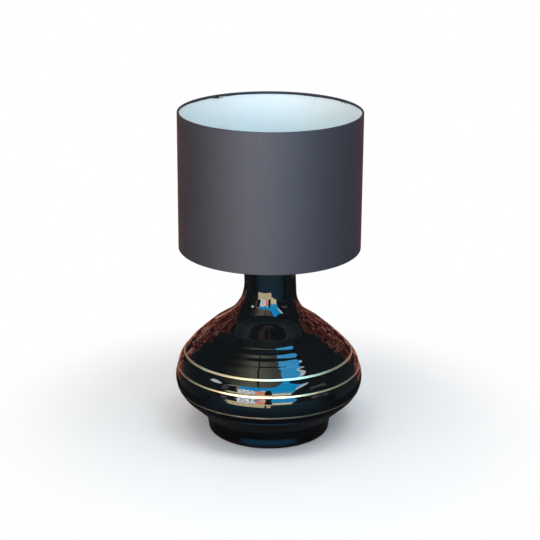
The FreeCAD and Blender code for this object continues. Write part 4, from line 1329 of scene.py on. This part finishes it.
floor_card_bm = flat_rings((0.100, 0.125, 0.16, 0.3, 0.6, 1.2, 3.1), 0.0004)
floor_card_material, tree, colour = glowing("floor_card")
where = place(tree)
away = node(tree, "ShaderNodeVectorMath", operation="LENGTH", Vector=where).outputs["Value"]
# The dark stops from 0.126 m to 0.16 m are a painted shadow of the belly on the mirrored floor.
blues = ramp(tree, away, (0.1070, (0.005, 0.01, 0.015)), (0.1115, (0.12, 0.75, 1.50)),
             (0.1175, (0.08, 0.45, 0.85)), (0.126, (0.01, 0.02, 0.03)),
             (0.16, (0.01, 0.01, 0.012)), (0.35, (0.13, 0.33, 0.50)), (0.8, (0.22, 0.54, 0.80)))
front = sums(tree, "DIVIDE", node(tree, "ShaderNodeSeparateXYZ", Vector=where).outputs["Y"],
             away)
side = between(tree, share_of(tree, away, 0.13, 0.16), -0.82, -0.25)
facing = share_of(tree, front, side, -0.97, interpolation_type="SMOOTHSTEP")
tree.links.new(mix_colours(tree, facing, (0.03, 0.022, 0.02, 1.0), blues), colour)
only_mirrored(add_stage("floor_card", floor_card_bm, floor_card_material))

# %% [markdown]
# The hollow above the foot would mirror the blue ring a second time, so a narrow dark collar
# hangs between the two. It is painted shade: it stands for the floor in shadow next to the foot.

# %% Painted shade round the foot
only_mirrored(add_stage("foot_shade_card", flat_rings((0.1045, 0.122), 0.018), gap_card))

# %% [markdown]
# ## Lamps
#
# Four soft boxes light the cloth, the lining and the floor: two low ones in front, warm from the
# left and cool from the right, and two high ones that shine down into the drum. None of them
# shows in a mirror, because the cards already draw what the glaze reflects.

# %% Soft boxes
LAMP_AIM = (0.0, 0.0, 0.2)
DRUM_AIM = (0.0, 0.0, 0.5)


def soft_box(name, azimuth, elevation, distance, width, height, watts, colour,
             target=LAMP_AIM):
    """An area light at two angles and a distance from the point that it aims at."""
    data = bpy.data.lights.new(name, "AREA")
    data.shape = "RECTANGLE"
    data.size = width
    data.size_y = height
    data.energy = watts
    data.color = colour
    box = bpy.data.objects.new(name, data)
    bpy.context.scene.collection.objects.link(box)
    side, up = math.radians(azimuth), math.radians(elevation)
    toward = Vector((math.sin(side) * math.cos(up), -math.cos(side) * math.cos(up),
                     math.sin(up)))
    aim = Vector(target)
    box.matrix_world = (Matrix.Translation(aim + toward * distance)
                        @ toward.to_track_quat("Z", "Y").to_matrix().to_4x4())
    box.visible_camera = False
    box.visible_glossy = False
    print("%-14s %3d W" % (name, watts))


soft_box("low_wide_box", -16, 12, 2.4, 2.0, 0.90, 29, (1.0, 0.90, 0.84))
soft_box("low_cool_box", 22, 12, 2.4, 0.8, 0.90, 14, (0.36, 0.66, 1.0))
soft_box("high_cool_box", 38, 60, 1.7, 0.8, 0.8, 11, (0.82, 0.94, 0.98), DRUM_AIM)
soft_box("high_warm_box", -38, 64, 1.7, 0.8, 0.8, 7, (1.0, 0.97, 0.88), DRUM_AIM)

# %% [markdown]
# ## View
#
# Colours go to the picture as they are, without a film curve.

# %% View
bpy.context.scene.view_settings.view_transform = "Standard"
